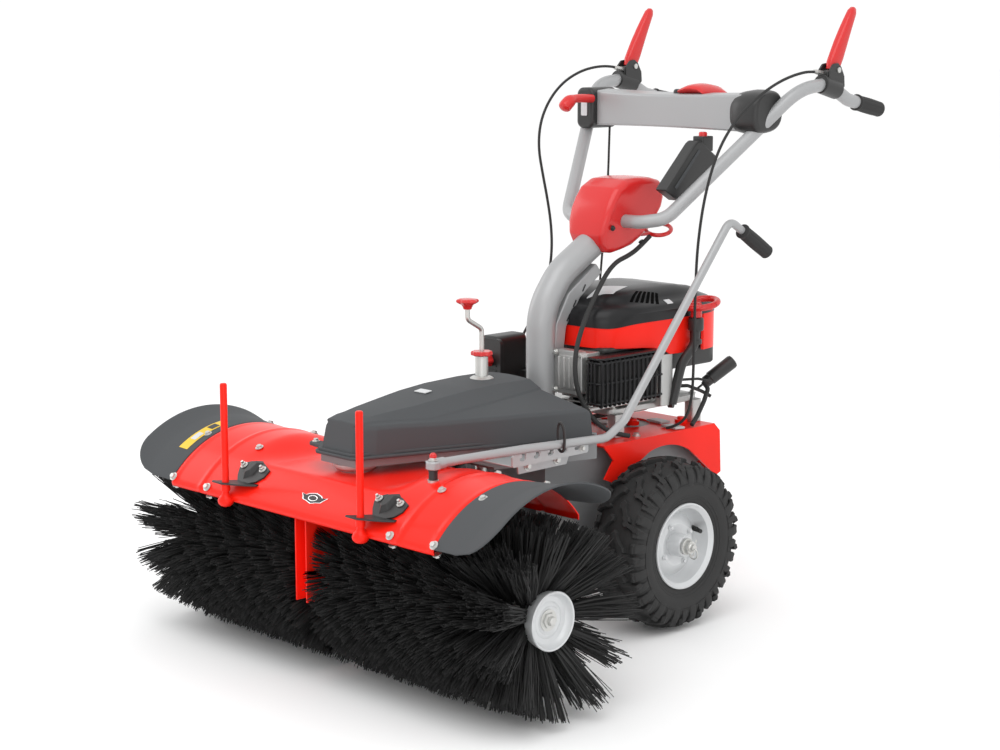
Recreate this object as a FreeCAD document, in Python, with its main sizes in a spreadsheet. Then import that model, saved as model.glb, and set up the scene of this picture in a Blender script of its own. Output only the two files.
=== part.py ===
import FreeCAD, Part
import math
import os
import Sketcher

# Walk behind sweeper with a steerable front brush, drawn in millimetres.
# The front of the machine is -Y, its left side is +X, and up is +Z, with the floor at z = 0.
# Every piece is drawn with y = 0 at the wheel axle. Its Placement then moves it by axle_y, so that
# the origin is in the middle of the machine's footprint.

DIMENSIONS = {
    # wheels
    "axle_y": 84.3, "wheel_radius": 178, "wheel_centre_x": 233, "tyre_half_width": 63,
    "carcass_radius": 168, "lug_angle": 9, "lug_count": 18, "rim_radius": 86, "rim_half_width": 56.5,
    "bead_radius": 77, "axle_radius": 10, "running_gap": 0.05, "clear_gap": 0.4, "hub_radius": 24,
    "axle_inner_x": 45, "axle_outer_x": 312, "bearing_radius": 26, "bearing_flange": 38,
    # chassis and deck
    "chassis_half_width": 116, "chassis_top": 376, "plate_thickness": 4, "deck_half_width": 150,
    "deck_top": 380, "case_half_width": 80, "case_half_length": 62, "case_bottom": 112,
    "case_top": 300, "case_wall": 6,
    # arm, belt cover and belt drive
    "neck_y": -636, "arm_bottom": 408, "arm_top": 428, "arm_front_y": -680, "arm_rear_y": -180,
    "arm_front_half": 50, "arm_rear_half": 205, "cover_top": 520, "cover_front_top": 484,
    "cover_wall": 3, "belt_z": 415, "belt_height": 9, "belt_thickness": 7, "driven_radius": 30,
    "drive_radius": 56, "engine_shaft_y": 120, "engine_shaft_radius": 11,
    # engine
    "engine_half_width": 132, "engine_front_y": -70, "engine_rear_y": 330, "block_bottom": 430,
    "shroud_bottom": 545, "shroud_top": 620, "engine_top": 688, "shell_wall": 4,
    # column, crank and support wheel
    "column_y": -131, "column_radius": 30, "column_wall": 3, "crank_y": -301,
    "crank_tube_radius": 13, "crank_bore": 10.4, "crank_tube_top": 574, "crank_rod_radius": 5,
    "post_radius": 10, "post_bore": 5.5, "support_radius": 62, "support_trail": 26,
    "support_half_width": 16,
    # brush head
    "brush_y": -606, "brush_z": 190, "brush_radius": 188, "brush_half_length": 560,
    "brush_gap": 21, "shaft_radius": 14, "core_radius": 36, "core_wall": 3, "core_end": 472,
    "cap_radius": 55,
    "hood_radius": 233, "hood_thickness": 3, "hood_half_width": 385, "hood_flat_z": 391,
    "hood_front_angle": 142, "hood_rear_angle": 38, "guard_radius": 252, "guard_outer_x": 520,
    "guard_rear_angle": 50,
    "post_half_width": 17, "rod_x": 199, "rod_y": -796, "rod_radius": 7, "rod_top": 554,
    "rod_foot_z": 312, "rod_collar_radius": 9.2, "rod_collar_top": 357, "worm_radius": 8,
    # angle lever
    "lever_radius": 8.5, "lever_pin_x": 252, "lever_pin_y": -667, "lever_z": 445,
    # handlebars
    "tilt_y": 66, "tilt_z": 824, "bar_radius": 14, "grip_radius": 17, "joint_half_width": 58,
    "lever_pivot_y": 458, "lever_pivot_z": 1135, "lever_pivot_radius": 4,
}


class Size:
    """A length that knows both its value and the sheet expression that gives it."""

    def __init__(self, value, text):
        self.value = float(value)
        self.text = text

    def _join(self, other, sign, value):
        other_text = other.text if isinstance(other, Size) else repr(float(other))
        return Size(value, "(%s %s %s)" % (self.text, sign, other_text))

    def __add__(self, other):
        return self._join(other, "+", self.value + amount(other))

    def __sub__(self, other):
        return self._join(other, "-", self.value - amount(other))

    def __mul__(self, other):
        return self._join(other, "*", self.value * amount(other))

    def __truediv__(self, other):
        return self._join(other, "/", self.value / amount(other))

    def __neg__(self):
        return self * -1

    def __rsub__(self, other):
        return Size(amount(other), repr(float(other))) - self

    __radd__ = __add__
    __rmul__ = __mul__


def amount(size):
    """The plain number behind a Size or a number."""
    return size.value if isinstance(size, Size) else float(size)


doc = FreeCAD.newDocument("walk_behind_sweeper")
sheet = doc.addObject("Spreadsheet::Sheet", "dims")
for row, (alias, number) in enumerate(DIMENSIONS.items(), start=1):
    sheet.set("A%d" % row, alias)
    sheet.set("B%d" % row, str(number))
    sheet.setAlias("B%d" % row, alias)
doc.recompute()


class Dims:
    """Gives each cell of the sheet as a Size: D.wheel_radius and so on."""

    def __getattr__(self, alias):
        return Size(DIMENSIONS[alias], "dims." + alias)


D = Dims()
V = FreeCAD.Vector
X_AXIS = V(1, 0, 0)
Y_AXIS = V(0, 1, 0)
Z_AXIS = V(0, 0, 1)
finished = []


# ---------------------------------------------------------------- helpers

def bind(thing, prop, size):
    """Set a property, and bind it to the sheet where its size comes from there."""
    if isinstance(size, Size):
        thing.setExpression(prop, size.text)
    else:
        setattr(thing, prop, float(size))


def place(thing, x=0, y=0, z=0, axis=Z_AXIS, angle=0):
    """Place an object at (x, y, z), turned by angle about axis."""
    base = V(amount(x), amount(y), amount(z))
    thing.Placement = FreeCAD.Placement(base, FreeCAD.Rotation(axis, angle))
    for name, size in (("x", x), ("y", y), ("z", z)):
        if isinstance(size, Size):
            thing.setExpression("Placement.Base." + name, size.text)
    return thing


def finish_part(thing, label, x=0, y=0, z=0, turned=0):
    """Name a finished sub-part and move it from the axle's frame to the machine's."""
    thing.Label = label
    place(thing, x, D.axle_y + y, z, Z_AXIS, turned)
    finished.append(thing)


def box(x, y, z):
    """A block between the two ends given for each axis."""
    block = doc.addObject("Part::Box", "block")
    for prop, (low, high) in (("Length", x), ("Width", y), ("Height", z)):
        bind(block, prop, high - low)
    return place(block, x[0], y[0], z[0])


def rod(axis, centre, ends, radius):
    """A cylinder along 'x', 'y' or 'z' between two ends, round the other two coordinates."""
    cylinder = doc.addObject("Part::Cylinder", "rod")
    bind(cylinder, "Radius", radius)
    bind(cylinder, "Height", ends[1] - ends[0])
    if axis == "z":
        return place(cylinder, centre[0], centre[1], ends[0])
    if axis == "x":
        return place(cylinder, ends[0], centre[0], centre[1], Y_AXIS, 90)
    return place(cylinder, centre[0], ends[0], centre[1], X_AXIS, -90)


def cone(centre, ends, radius_low, radius_high):
    """An upright cone between two heights."""
    frustum = doc.addObject("Part::Cone", "cone")
    bind(frustum, "Radius1", radius_low)
    bind(frustum, "Radius2", radius_high)
    bind(frustum, "Height", ends[1] - ends[0])
    return place(frustum, centre[0], centre[1], ends[0])


def fuse(*things):
    """One solid made of several."""
    union = doc.addObject("Part::MultiFuse", "union")
    union.Shapes = list(things)
    union.Refine = True
    return union


def cut(base, *tools):
    """The base less every tool, with a check that the tools really remove something."""
    tool = tools[0] if len(tools) == 1 else fuse(*tools)
    result = doc.addObject("Part::Cut", "cut")
    result.Base = base
    result.Tool = tool
    doc.recompute()
    if result.Shape.Volume >= base.Shape.Volume - 1e-3:
        raise ValueError("a cut removes nothing")
    return result


def common(first, second):
    """The space that two objects share."""
    both = doc.addObject("Part::MultiCommon", "common")
    both.Shapes = [first, second]
    return both


def group(*things):
    """Several separate solids of one kind, kept as one sub-part."""
    compound = doc.addObject("Part::Compound", "group")
    compound.Links = list(things)
    return compound


def mirrored(thing):
    """The same piece on the machine's other side."""
    mirror = doc.addObject("Part::Mirroring", "mirror")
    mirror.Source = thing
    mirror.Normal = X_AXIS
    return mirror


def new_body():
    """An empty PartDesign body."""
    return doc.addObject("PartDesign::Body", "body")


def origin_plane(body, role):
    """The body's own origin plane with the given role."""
    return [item for item in body.Origin.OriginFeatures if item.Role == role][0]


def outline(body, role, points, arcs=None, offset=0):
    """A closed sketch through the points. arcs gives a middle point for the sides that are round."""
    arcs = arcs or {}
    sketch = body.newObject("Sketcher::SketchObject", "outline")
    sketch.AttachmentSupport = [(origin_plane(body, role), "")]
    sketch.MapMode = "FlatFace"
    sketch.AttachmentOffset = FreeCAD.Placement(V(0, 0, amount(offset)), FreeCAD.Rotation())
    if isinstance(offset, Size):
        sketch.setExpression("AttachmentOffset.Base.z", offset.text)
    count = len(points)
    flat = [V(amount(a), amount(b), 0) for a, b in points]
    for index in range(count):
        start, end = flat[index], flat[(index + 1) % count]
        if index in arcs:
            side = round_side(start, V(amount(arcs[index][0]), amount(arcs[index][1]), 0), end)
        else:
            side = Part.LineSegment(start, end)
        sketch.addGeometry(side, False)
    for index in range(count):
        first_end, second_start = 2, 1
        if index in arcs:
            first_end = arc_end(sketch, index, flat[(index + 1) % count])
        if (index + 1) % count in arcs:
            second_start = arc_end(sketch, (index + 1) % count, flat[(index + 1) % count])
        sketch.addConstraint(
            Sketcher.Constraint("Coincident", index, first_end, (index + 1) % count, second_start))
    for index, (across, along) in enumerate(points):
        corner = arc_end(sketch, index, flat[index]) if index in arcs else 1
        hold(sketch, "DistanceX", index, corner, across)
        hold(sketch, "DistanceY", index, corner, along)
    for index in arcs:
        radius = sketch.Geometry[index].Radius
        sketch.addConstraint(Sketcher.Constraint("Radius", index, radius))
    return sketch


def round_side(start, middle, end):
    """An arc through three points, drawn anticlockwise as a sketch wants it."""
    if (middle - start).cross(end - middle).z < 0:
        start, end = end, start
    circle = Part.Arc(start, middle, end).toShape().Curve
    centre = circle.Center
    angles = [math.atan2(point.y - centre.y, point.x - centre.x) for point in (start, end)]
    if angles[1] < angles[0]:
        angles[1] += 2 * math.pi
    return Part.ArcOfCircle(Part.Circle(centre, Z_AXIS, circle.Radius), angles[0], angles[1])


def arc_end(sketch, index, point):
    """Which end of an arc lies at the point: 1 for its start, 2 for its end."""
    arc = sketch.Geometry[index]
    return 1 if arc.StartPoint.distanceToPoint(point) < arc.EndPoint.distanceToPoint(point) else 2


def hold(sketch, kind, index, corner, size):
    """Hold one coordinate of a corner, bound to the sheet where its size comes from there."""
    number = sketch.addConstraint(Sketcher.Constraint(kind, -1, 1, index, corner, amount(size)))
    if isinstance(size, Size):
        sketch.setExpression("Constraints[%d]" % number, size.text)


def circle_sketch(body, role, centre, radius, offset=0):
    """A sketch of one circle."""
    sketch = body.newObject("Sketcher::SketchObject", "circle")
    sketch.AttachmentSupport = [(origin_plane(body, role), "")]
    sketch.MapMode = "FlatFace"
    sketch.AttachmentOffset = FreeCAD.Placement(V(0, 0, amount(offset)), FreeCAD.Rotation())
    middle = V(amount(centre[0]), amount(centre[1]), 0)
    sketch.addGeometry(Part.Circle(middle, Z_AXIS, amount(radius)), False)
    hold(sketch, "DistanceX", 0, 3, centre[0])
    hold(sketch, "DistanceY", 0, 3, centre[1])
    number = sketch.addConstraint(Sketcher.Constraint("Radius", 0, amount(radius)))
    if isinstance(radius, Size):
        sketch.setExpression("Constraints[%d]" % number, radius.text)
    return sketch


def pad(body, sketch, length, midplane=False):
    """Raise a sketch into a solid."""
    feature = body.newObject("PartDesign::Pad", "pad")
    feature.Profile = sketch
    feature.Midplane = midplane
    bind(feature, "Length", length)
    body.Tip = feature


def pocket(body, sketch, length=None):
    """Cut a sketch into the body, both ways from its plane; through everything without a length."""
    before = body_volume(body)
    feature = body.newObject("PartDesign::Pocket", "pocket")
    feature.Profile = sketch
    feature.Midplane = True
    if length is None:
        feature.Type = "ThroughAll"
    else:
        bind(feature, "Length", length)
    body.Tip = feature
    if body_volume(body) >= before - 1e-3:
        raise ValueError("a pocket cuts nothing")
    return feature


def turn(body, sketch, angle=360, midplane=False):
    """Turn a sketch about its own horizontal axis."""
    feature = body.newObject("PartDesign::Revolution", "turned")
    feature.Profile = sketch
    feature.ReferenceAxis = (sketch, ["H_Axis"])
    feature.Midplane = midplane
    bind(feature, "Angle", angle)
    body.Tip = feature
    return feature


def loop_handle(radius, thickness, centre, tilt=0):
    """A ring of round rod, level or tilted about the X axis."""
    ring = doc.addObject("Part::Torus", "ring")
    ring.Radius1 = radius
    ring.Radius2 = thickness
    return place(ring, *centre, X_AXIS, tilt)


def pattern_round(body, features, axis_role, count):
    """Repeat features evenly about one of the body's axes."""
    pattern = body.newObject("PartDesign::PolarPattern", "ring")
    pattern.Originals = features
    pattern.Axis = (origin_plane(body, axis_role), [""])
    pattern.Angle = 360
    pattern.Occurrences = count
    body.Tip = pattern


def pattern_row(body, features, axis_role, length, count):
    """Repeat features in a straight row along one of the body's axes."""
    pattern = body.newObject("PartDesign::LinearPattern", "row")
    pattern.Originals = features
    pattern.Direction = (origin_plane(body, axis_role), [""])
    bind(pattern, "Length", length)
    pattern.Occurrences = count
    body.Tip = pattern


def body_volume(body):
    """The volume of the body as it stands."""
    doc.recompute()
    return body.Shape.Volume


def turned_part(points, arcs=None):
    """A body turned about the X axis from one outline of (along, radius) points."""
    body = new_body()
    turn(body, outline(body, "XY_Plane", points, arcs))
    return body


def prism(role, points, ends, arcs=None):
    """A body pulled from one outline, between two distances along the plane's normal."""
    body = new_body()
    pad(body, outline(body, role, points, arcs, offset=ends[0]), ends[1] - ends[0])
    return body


def tube_path(points, radii=None):
    """Straight runs joined by tangent arcs; each arc as large as its two runs allow, or as given."""
    corners = [V(*[amount(number) for number in point]) for point in points]
    edges = []
    last = corners[0]
    for index in range(1, len(corners) - 1):
        before = corners[index - 1] - corners[index]
        after = corners[index + 1] - corners[index]
        half_turn = (math.pi - before.getAngle(after)) / 2
        trim = 0.45 * min(before.Length, after.Length)
        if radii:
            trim = min(trim, radii[index - 1] * math.tan(half_turn))
        before.normalize()
        after.normalize()
        start = corners[index] + before * trim
        end = corners[index] + after * trim
        inward = (before + after).normalize()
        radius = trim / math.tan(half_turn)
        middle = corners[index] + inward * (radius / math.cos(half_turn) - radius)
        edges.append(Part.LineSegment(last, start).toShape())
        edges.append(Part.Arc(start, middle, end).toShape())
        last = end
    edges.append(Part.LineSegment(last, corners[-1]).toShape())
    return Part.Wire(edges)


def swept(path, outer, inner=None):
    """A round tube along a path, as a shape; hollow where an inner radius is given."""
    start = path.Edges[0]
    tangent = start.tangentAt(start.FirstParameter)
    ring = Part.Circle(path.Vertexes[0].Point, tangent, amount(outer))
    tube = path.makePipeShell([Part.Wire(ring.toShape())], True, False)
    if inner is None:
        return tube
    return tube.cut(swept(path, inner))


def straight(start, end):
    """A straight path between two points."""
    return Part.Wire(Part.makeLine(V(*start), V(*end)))


def shape_feature(shape):
    """A feature that holds a shape worked out by the code."""
    feature = doc.addObject("Part::Feature", "shape")
    feature.Shape = shape
    return feature


def cord(label, points, radius):
    """A cable's plain round tube along its route, with its bend radii printed."""
    path = tube_path(points)
    bends = [edge.Curve.Radius for edge in path.Edges if isinstance(edge.Curve, Part.Circle)]
    solid = swept(path, radius)
    expected = math.pi * amount(radius) ** 2 * path.Length
    print("%s: %.0f mm long, bends %s mm, volume ratio %.3f" % (
        label, path.Length, [round(bend) for bend in bends], solid.Volume / expected))
    return finish_part(shape_feature(solid), label)


# ---------------------------------------------------------------- wheels

def tread_lugs(body, corners, start_angle):
    """One lug of a tread row: an outline turned through a few degrees, from a starting angle."""
    sketch = outline(body, "XY_Plane", corners)
    sketch.AttachmentOffset = FreeCAD.Placement(V(0, 0, 0), FreeCAD.Rotation(X_AXIS, start_angle))
    return turn(body, sketch, angle=D.lug_angle, midplane=True)


def tyre(label, side_sign):
    """A hollow carcass with three staggered rows of tread lugs."""
    side = D.tyre_half_width
    crown = D.carcass_radius
    belly = D.bead_radius + 43
    body = turned_part(
        [(-side + 14, D.bead_radius), (-side + 8, crown - 10), (side - 8, crown - 10),
         (side - 14, D.bead_radius), (side - 20, D.bead_radius), (side - 14, crown - 20),
         (-side + 14, crown - 20), (-side + 20, D.bead_radius)],
        arcs={0: (-side + 1, belly), 1: (0, crown), 2: (side - 1, belly),
              4: (side - 8, belly), 5: (0, crown - 8), 6: (-side + 8, belly)})
    root = crown - 14
    top = D.wheel_radius
    shoulder = [(side * 0.42, root), (side * 0.42, top), (side - 12, top - 1),
                (side, top - 18), (side - 5, root - 8)]
    other_shoulder = [(-across, along) for across, along in shoulder]
    middle = [(-side * 0.22, root), (-side * 0.22, top), (side * 0.22, top), (side * 0.22, root)]
    lugs = [tread_lugs(body, shoulder, 0), tread_lugs(body, other_shoulder, 10),
            tread_lugs(body, middle, 5)]
    pattern_round(body, lugs, "X_Axis", DIMENSIONS["lug_count"])
    put_on_axle(body, label, side_sign)


def put_on_axle(thing, label, side_sign):
    """Finish a wheel piece: centred on its own wheel, and turned over on the right-hand side."""
    turned = 0 if side_sign > 0 else 180
    finish_part(thing, label, D.wheel_centre_x * side_sign, 0, D.wheel_radius, turned)


def rim(label, side_sign):
    """A pressed steel rim with a dished disc and a long hub tube."""
    flange = D.rim_radius
    half = D.rim_half_width
    well = D.bead_radius - 0.5
    bore = D.axle_radius + D.running_gap
    hub = D.hub_radius
    body = turned_part([
        (-half, flange), (-half + 3, flange), (-half + 3, well), (-20, well), (-14, well - 9),
        (14, well - 9), (20, well), (half - 3, well), (half - 3, flange), (half, flange),
        (half, flange - 4), (half - 2, well - 4), (23, well - 4), (16, well - 13), (28, 54),
        (33, 40), (29, hub + 4), (29, hub), (58, hub), (58, bore), (-58, bore), (-58, hub),
        (24, hub), (25, hub + 6), (28, 40), (23, 52), (12, well - 13), (-17, well - 13),
        (-23, well - 4), (-half + 2, well - 4), (-half, flange - 4)])
    first_hole = pocket(body, circle_sketch(body, "YZ_Plane", (44, 0), 5))
    pattern_round(body, [first_hole], "X_Axis", 4)
    put_on_axle(body, label, side_sign)


def axle(label, side_sign):
    """A half shaft with an end bolt, and a spring clip through a cross hole."""
    centre = D.wheel_centre_x
    inner = D.axle_inner_x - centre
    outer = D.axle_outer_x - centre
    shaft = turned_part([(inner, 0), (inner, D.axle_radius), (outer - 18, D.axle_radius),
                         (outer - 18, 13), (outer - 8, 13), (outer - 8, 7), (outer, 7), (outer, 0)])
    clip = doc.addObject("Part::Torus", "clip")
    clip.Radius1 = 11
    clip.Radius2 = 1.5
    place(clip, outer - 3, 0, -12, X_AXIS, 90)
    put_on_axle(fuse(shaft, clip), label, side_sign)


# ---------------------------------------------------------------- chassis

def chassis_frame():
    """An open-bottomed channel of plate, with a bore for each half shaft and for the engine shaft."""
    body = new_body()
    top = D.chassis_top
    wall = D.plate_thickness
    side = [(-236, 300), (-236, top), (248, top), (248, 296), (150, 262), (70, 118), (-70, 118),
            (-140, 220)]
    pad(body, outline(body, "YZ_Plane", side), D.chassis_half_width * 2, midplane=True)
    inside = [(-236 + wall, 60), (-236 + wall, top - wall), (248 - wall, top - wall),
              (248 - wall, 60)]
    pocket(body, outline(body, "YZ_Plane", inside), D.chassis_half_width * 2 - wall * 2)
    pocket(body, circle_sketch(body, "YZ_Plane", (0, D.wheel_radius), D.axle_radius + 6))
    pocket(body, circle_sketch(body, "XY_Plane", (0, D.engine_shaft_y), 30))
    pocket(body, circle_sketch(body, "XY_Plane", (0, D.column_y), 14))
    finish_part(body, "chassis_frame")


def transmission_case():
    """The gear case between the wheels: a shell with a boss at each half shaft."""
    wall = D.case_wall
    half, length = D.case_half_width, D.case_half_length
    outer = fuse(box((-half, half), (-length, length), (D.case_bottom, D.case_top)),
                 rod("x", (0, D.wheel_radius), (-half - 26, half + 26), 24),
                 rod("z", (0, 20), (D.case_top - 1, D.case_top + 40), 30))
    inner = box((-half + wall, half - wall), (-length + wall, length - wall),
                (D.case_bottom + wall, D.case_top - wall))
    bore = rod("x", (0, D.wheel_radius), (-half - 30, half + 30), D.axle_radius + D.running_gap)
    finish_part(cut(outer, inner, bore), "transmission_case")


def axle_bearings():
    """A flanged bearing on the outside of each chassis plate."""
    start = D.chassis_half_width
    centre = (0, D.wheel_radius)
    flange = rod("x", centre, (start, start + 6), D.bearing_flange)
    ring = rod("x", centre, (start + 6, start + 20), D.bearing_radius)
    bore = rod("x", centre, (start - 20, start + 40), D.axle_radius + D.running_gap)
    bearing = cut(fuse(flange, ring), bore)
    finish_part(group(bearing, mirrored(bearing)), "axle_bearings")


def rear_deck():
    """The painted deck: a top plate, two side panels arched over the wheels, and a rear skirt."""
    body = new_body()
    top = D.deck_top
    half = D.deck_half_width
    wall = D.plate_thickness
    side = [(-100, top), (-69, 346), (-96, 310), (-62, 296), (43, 348), (173, 333), (262, 264),
            (278, 270), (273, 362), (254, top)]
    pad(body, outline(body, "YZ_Plane", side, arcs={4: (108, 354)}), half * 2, midplane=True)
    inside = [(-130, 200), (-130, top - wall), (252, top - wall), (268, 360), (272, 200)]
    pocket(body, outline(body, "YZ_Plane", inside), half * 2 - wall * 2)
    pocket(body, circle_sketch(body, "XY_Plane", (0, D.engine_shaft_y), 62))
    finish_part(body, "rear_deck")


def arm_plan(inset, front, rear):
    """Half-widths of the arm grow evenly from its front to its rear."""
    front_half = D.arm_front_half - inset
    rear_half = D.arm_rear_half - inset
    return [(-front_half, front), (-rear_half, rear), (rear_half, rear), (front_half, front)]


def arm_housing():
    """A tapered tray from the chassis to the brush head, open at the rear for the belt."""
    body = new_body()
    wall = D.plate_thickness
    top = D.arm_top
    plan = outline(body, "XY_Plane", arm_plan(0, D.arm_front_y, D.arm_rear_y), offset=D.chassis_top)
    pad(body, plan, top - D.chassis_top)
    below = [(D.arm_front_y - 20, 300), (D.arm_front_y - 20, D.arm_bottom),
             (-470, D.arm_bottom), (-400, D.chassis_top + wall), (-400, 300)]
    pocket(body, outline(body, "YZ_Plane", below))
    tray = [(D.arm_front_y + wall, D.arm_bottom + wall), (D.arm_front_y + wall, top + 20),
            (D.arm_rear_y + 20, top + 20), (D.arm_rear_y + 20, D.arm_bottom + wall)]
    hollow = prism("YZ_Plane", tray, (-D.arm_rear_half, D.arm_rear_half))
    inner_plan = prism("XY_Plane", arm_plan(wall, D.arm_front_y, D.arm_rear_y + 20), (300, 500))
    under = [(-392, 300), (-392, D.arm_bottom - wall), (D.arm_rear_y - 30, D.arm_bottom - wall),
             (D.arm_rear_y - 30, 300)]
    lower_hollow = prism("YZ_Plane", under, (-D.arm_front_half * 2, D.arm_front_half * 2))
    neck_bore = rod("z", (0, D.neck_y), (300, 500), 24)
    tube_bore = rod("z", (0, D.crank_y), (300, 500), D.crank_tube_radius)
    tray_space = common(hollow, inner_plan)
    finish_part(cut(body, tray_space, lower_hollow, neck_bore, tube_bore), "arm_housing")


def cover_shape(inset, bottom):
    """The cover's outer or inner form: an upright skirt, then a crown that rises to the rear."""
    front_y, rear_y = D.arm_front_y - 3 + inset, D.arm_rear_y - 26 - inset
    front_half, rear_half = D.arm_front_half + 4 - inset, D.arm_rear_half + 8 - inset
    low = [(-front_half, front_y), (-rear_half, rear_y), (rear_half, rear_y), (front_half, front_y)]
    front_z, rear_z = D.cover_front_top - 10 - inset, D.cover_front_top - inset
    heights = (front_z, rear_z, rear_z, front_z)
    shoulder = [(across * 0.97, along, tall) for (across, along), tall in zip(low, heights)]
    tops = (D.cover_front_top + 4 - inset, D.cover_top - inset)
    crown = [(-front_half * 0.62, front_y + 22, tops[0]), (-rear_half * 0.62, rear_y - 24, tops[1]),
             (rear_half * 0.62, rear_y - 24, tops[1]), (front_half * 0.62, front_y + 22, tops[0])]
    rings = [[(across, along, bottom) for across, along in low], shoulder, crown]
    return faceted(rings)


def faceted(rings):
    """A closed solid of flat and twisted faces through rings of points, bottom ring first."""
    loops = [[V(*[amount(number) for number in point]) for point in ring] for ring in rings]
    faces = [ring_face(loops[0]), ring_face(loops[-1])]
    for lower, upper in zip(loops, loops[1:]):
        for index in range(len(lower)):
            after = (index + 1) % len(lower)
            faces.append(Part.makeRuledSurface(
                Part.makeLine(lower[index], lower[after]), Part.makeLine(upper[index], upper[after])))
    shell = Part.makeShell(faces)
    shell.sewShape()
    solid = Part.makeSolid(shell)
    if solid.Volume < 0:
        solid.reverse()
    return solid


def ring_face(points):
    """The flat face inside a closed ring of points."""
    return Part.Face(Part.makePolygon(points + points[:1]))


def belt_cover():
    """The long plastic cover over the belt, with a lip, an ear, and a hole for the crank tube."""
    wall = D.cover_wall
    bottom = D.arm_top
    outer = shape_feature(cover_shape(0, amount(bottom)))
    inner = shape_feature(cover_shape(amount(wall), amount(bottom) - 1))
    lip_plan = arm_plan(-9, D.arm_front_y - 8, D.arm_rear_y - 22)
    lip = prism("XY_Plane", lip_plan, (bottom, bottom + 6))
    ear_y = D.arm_front_y + 26
    ear = fuse(rod("z", (-98, ear_y), (bottom, bottom + 7), 13),
               box((-98, -60), (ear_y - 13, ear_y + 13), (bottom, bottom + 7)))
    crank_hole = rod("z", (0, D.crank_y), (bottom, D.cover_top + 20), D.crank_tube_radius + 1)
    finish_part(cut(fuse(outer, lip, ear), inner, crank_hole), "belt_cover")


def belt_loop(gap, width):
    """The outline round both pulleys at a given gap from their rims, as a solid of the belt's height."""
    far, near = amount(D.neck_y), amount(D.engine_shaft_y)
    radii = (amount(D.driven_radius) + gap, amount(D.drive_radius) + gap)
    lean = math.asin((radii[1] - radii[0]) / (near - far))
    low = amount(D.belt_z)
    discs = [Part.makeCylinder(radius, width, V(0, along, low))
             for radius, along in zip(radii, (far, near))]
    corners = [V(sign * radius * math.cos(lean), along - radius * math.sin(lean), low)
               for sign, radius, along in ((-1, radii[0], far), (1, radii[0], far),
                                           (1, radii[1], near), (-1, radii[1], near))]
    strip = ring_face(corners).extrude(V(0, 0, width))
    return discs[0].fuse([discs[1], strip]).removeSplitter()


def drive_belt():
    """The belt round the engine pulley and the head pulley, a little clear of both."""
    tall = amount(D.belt_height)
    gap = amount(D.clear_gap)
    loop = belt_loop(gap + amount(D.belt_thickness), tall).cut(belt_loop(gap, tall))
    finish_part(shape_feature(loop), "drive_belt")


def comb_plate():
    """The notched plate beside the angle lever, on a flange that reaches the arm."""
    body = new_body()
    bottom, top = 398, 424
    low_x, high_x = 226, 230
    side = [(-442, bottom), (-442, top), (-231, top - 6), (-231, bottom)]
    pad(body, outline(body, "YZ_Plane", side, offset=low_x), high_x - low_x)
    slot_side = [(-414, top - 14), (-414, top + 8), (-405, top + 8), (-405, top - 14)]
    slot = outline(body, "YZ_Plane", slot_side, offset=low_x)
    first = pocket(body, slot, 40)
    pattern_row(body, [first], "Y_Axis", 152, 5)
    flange_plan = [(high_x, -442), (high_x, -231), (189.4, -231), (124, -442)]
    flange = prism("XY_Plane", flange_plan, (bottom, bottom + 4))
    finish_part(fuse(body, flange), "comb_plate")


def steering_column():
    """The bent tube from the chassis up to the handlebar joint, with a channel brace behind it."""
    path = tube_path([(0, D.column_y, D.chassis_top), (0, D.column_y, 650), (0, -75, 722),
                      (0, 18, 775)], radii=(170, 120))
    tube = shape_feature(swept(path, D.column_radius, D.column_radius - D.column_wall))
    brace_side = [(-108, 560), (-106, 620), (-70, 680), (14, 736), (30, 714), (-36, 668),
                  (-78, 612), (-84, 560)]
    brace = prism("YZ_Plane", brace_side, (-22, 22))
    foot = box((-48, 48), (D.column_y - 42, D.column_y + 29), (D.chassis_top, D.chassis_top + 8))
    hole = rod("z", (0, D.column_y), (D.chassis_top, D.chassis_top + 20),
               D.column_radius - D.column_wall)
    finish_part(fuse(tube, brace, cut(foot, hole)), "steering_column")


def crank_tube():
    """The upright tube that guides the support wheel's post."""
    ends = (D.chassis_top - 60, D.crank_tube_top)
    tube = rod("z", (0, D.crank_y), ends, D.crank_tube_radius)
    bore = rod("z", (0, D.crank_y), (ends[0] - 5, ends[1] + 5), D.crank_bore)
    finish_part(cut(tube, bore), "crank_tube")


def bolt(x, y, z):
    """An upright bolt head on a washer."""
    head_z = z + 1.5
    return fuse(rod("z", (x, y), (z, head_z), 9), rod("z", (x, y), (head_z, head_z + 5), 6.5))


def chassis_bolts():
    """The bolts that show on the chassis, the deck and the comb plate's flange."""
    deck = amount(D.deck_top)
    places = [(-130, -60, deck), (112, -66, deck), (-130, 30, deck), (124, 30, deck)]
    bolts = [bolt(x, y, z) for x, y, z in places]
    flange = 402
    bolts += [bolt(214, -262, flange), bolt(200, -300, flange)]
    finish_part(group(*bolts), "chassis_bolts")


# ---------------------------------------------------------------- engine

def engine_block():
    """The cast crankcase on four feet, with the finned cylinder at its front left."""
    low = D.block_bottom
    half = D.engine_half_width
    plate = box((-half + 8, 104), (D.engine_front_y + 40, 262), (low, low + 12))
    core = rod("z", (0, D.engine_shaft_y), (low, D.shroud_bottom + 10), 92)
    feet = [box((x - 14, x + 14), (y - 16, y + 16), (D.deck_top, low + 1))
            for x in (-100, 100) for y in (-8, 240)]
    fins = [box((38, 118), (-112, 20), (457 + 12 * step, 462 + 12 * step)) for step in range(9)]
    barrel = box((50, 106), (-100, 80), (446, 500))
    upper = box((50, 106), (-100, 20), (498, 562))
    head = box((60, 98), (-120, -96), (470, 556))
    shaft_bore = rod("z", (0, D.engine_shaft_y), (low - 5, low + 40),
                     D.engine_shaft_radius + D.running_gap)
    casting = fuse(plate, core, barrel, upper, head, *feet, *fins)
    finish_part(cut(casting, shaft_bore), "engine_block")


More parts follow.
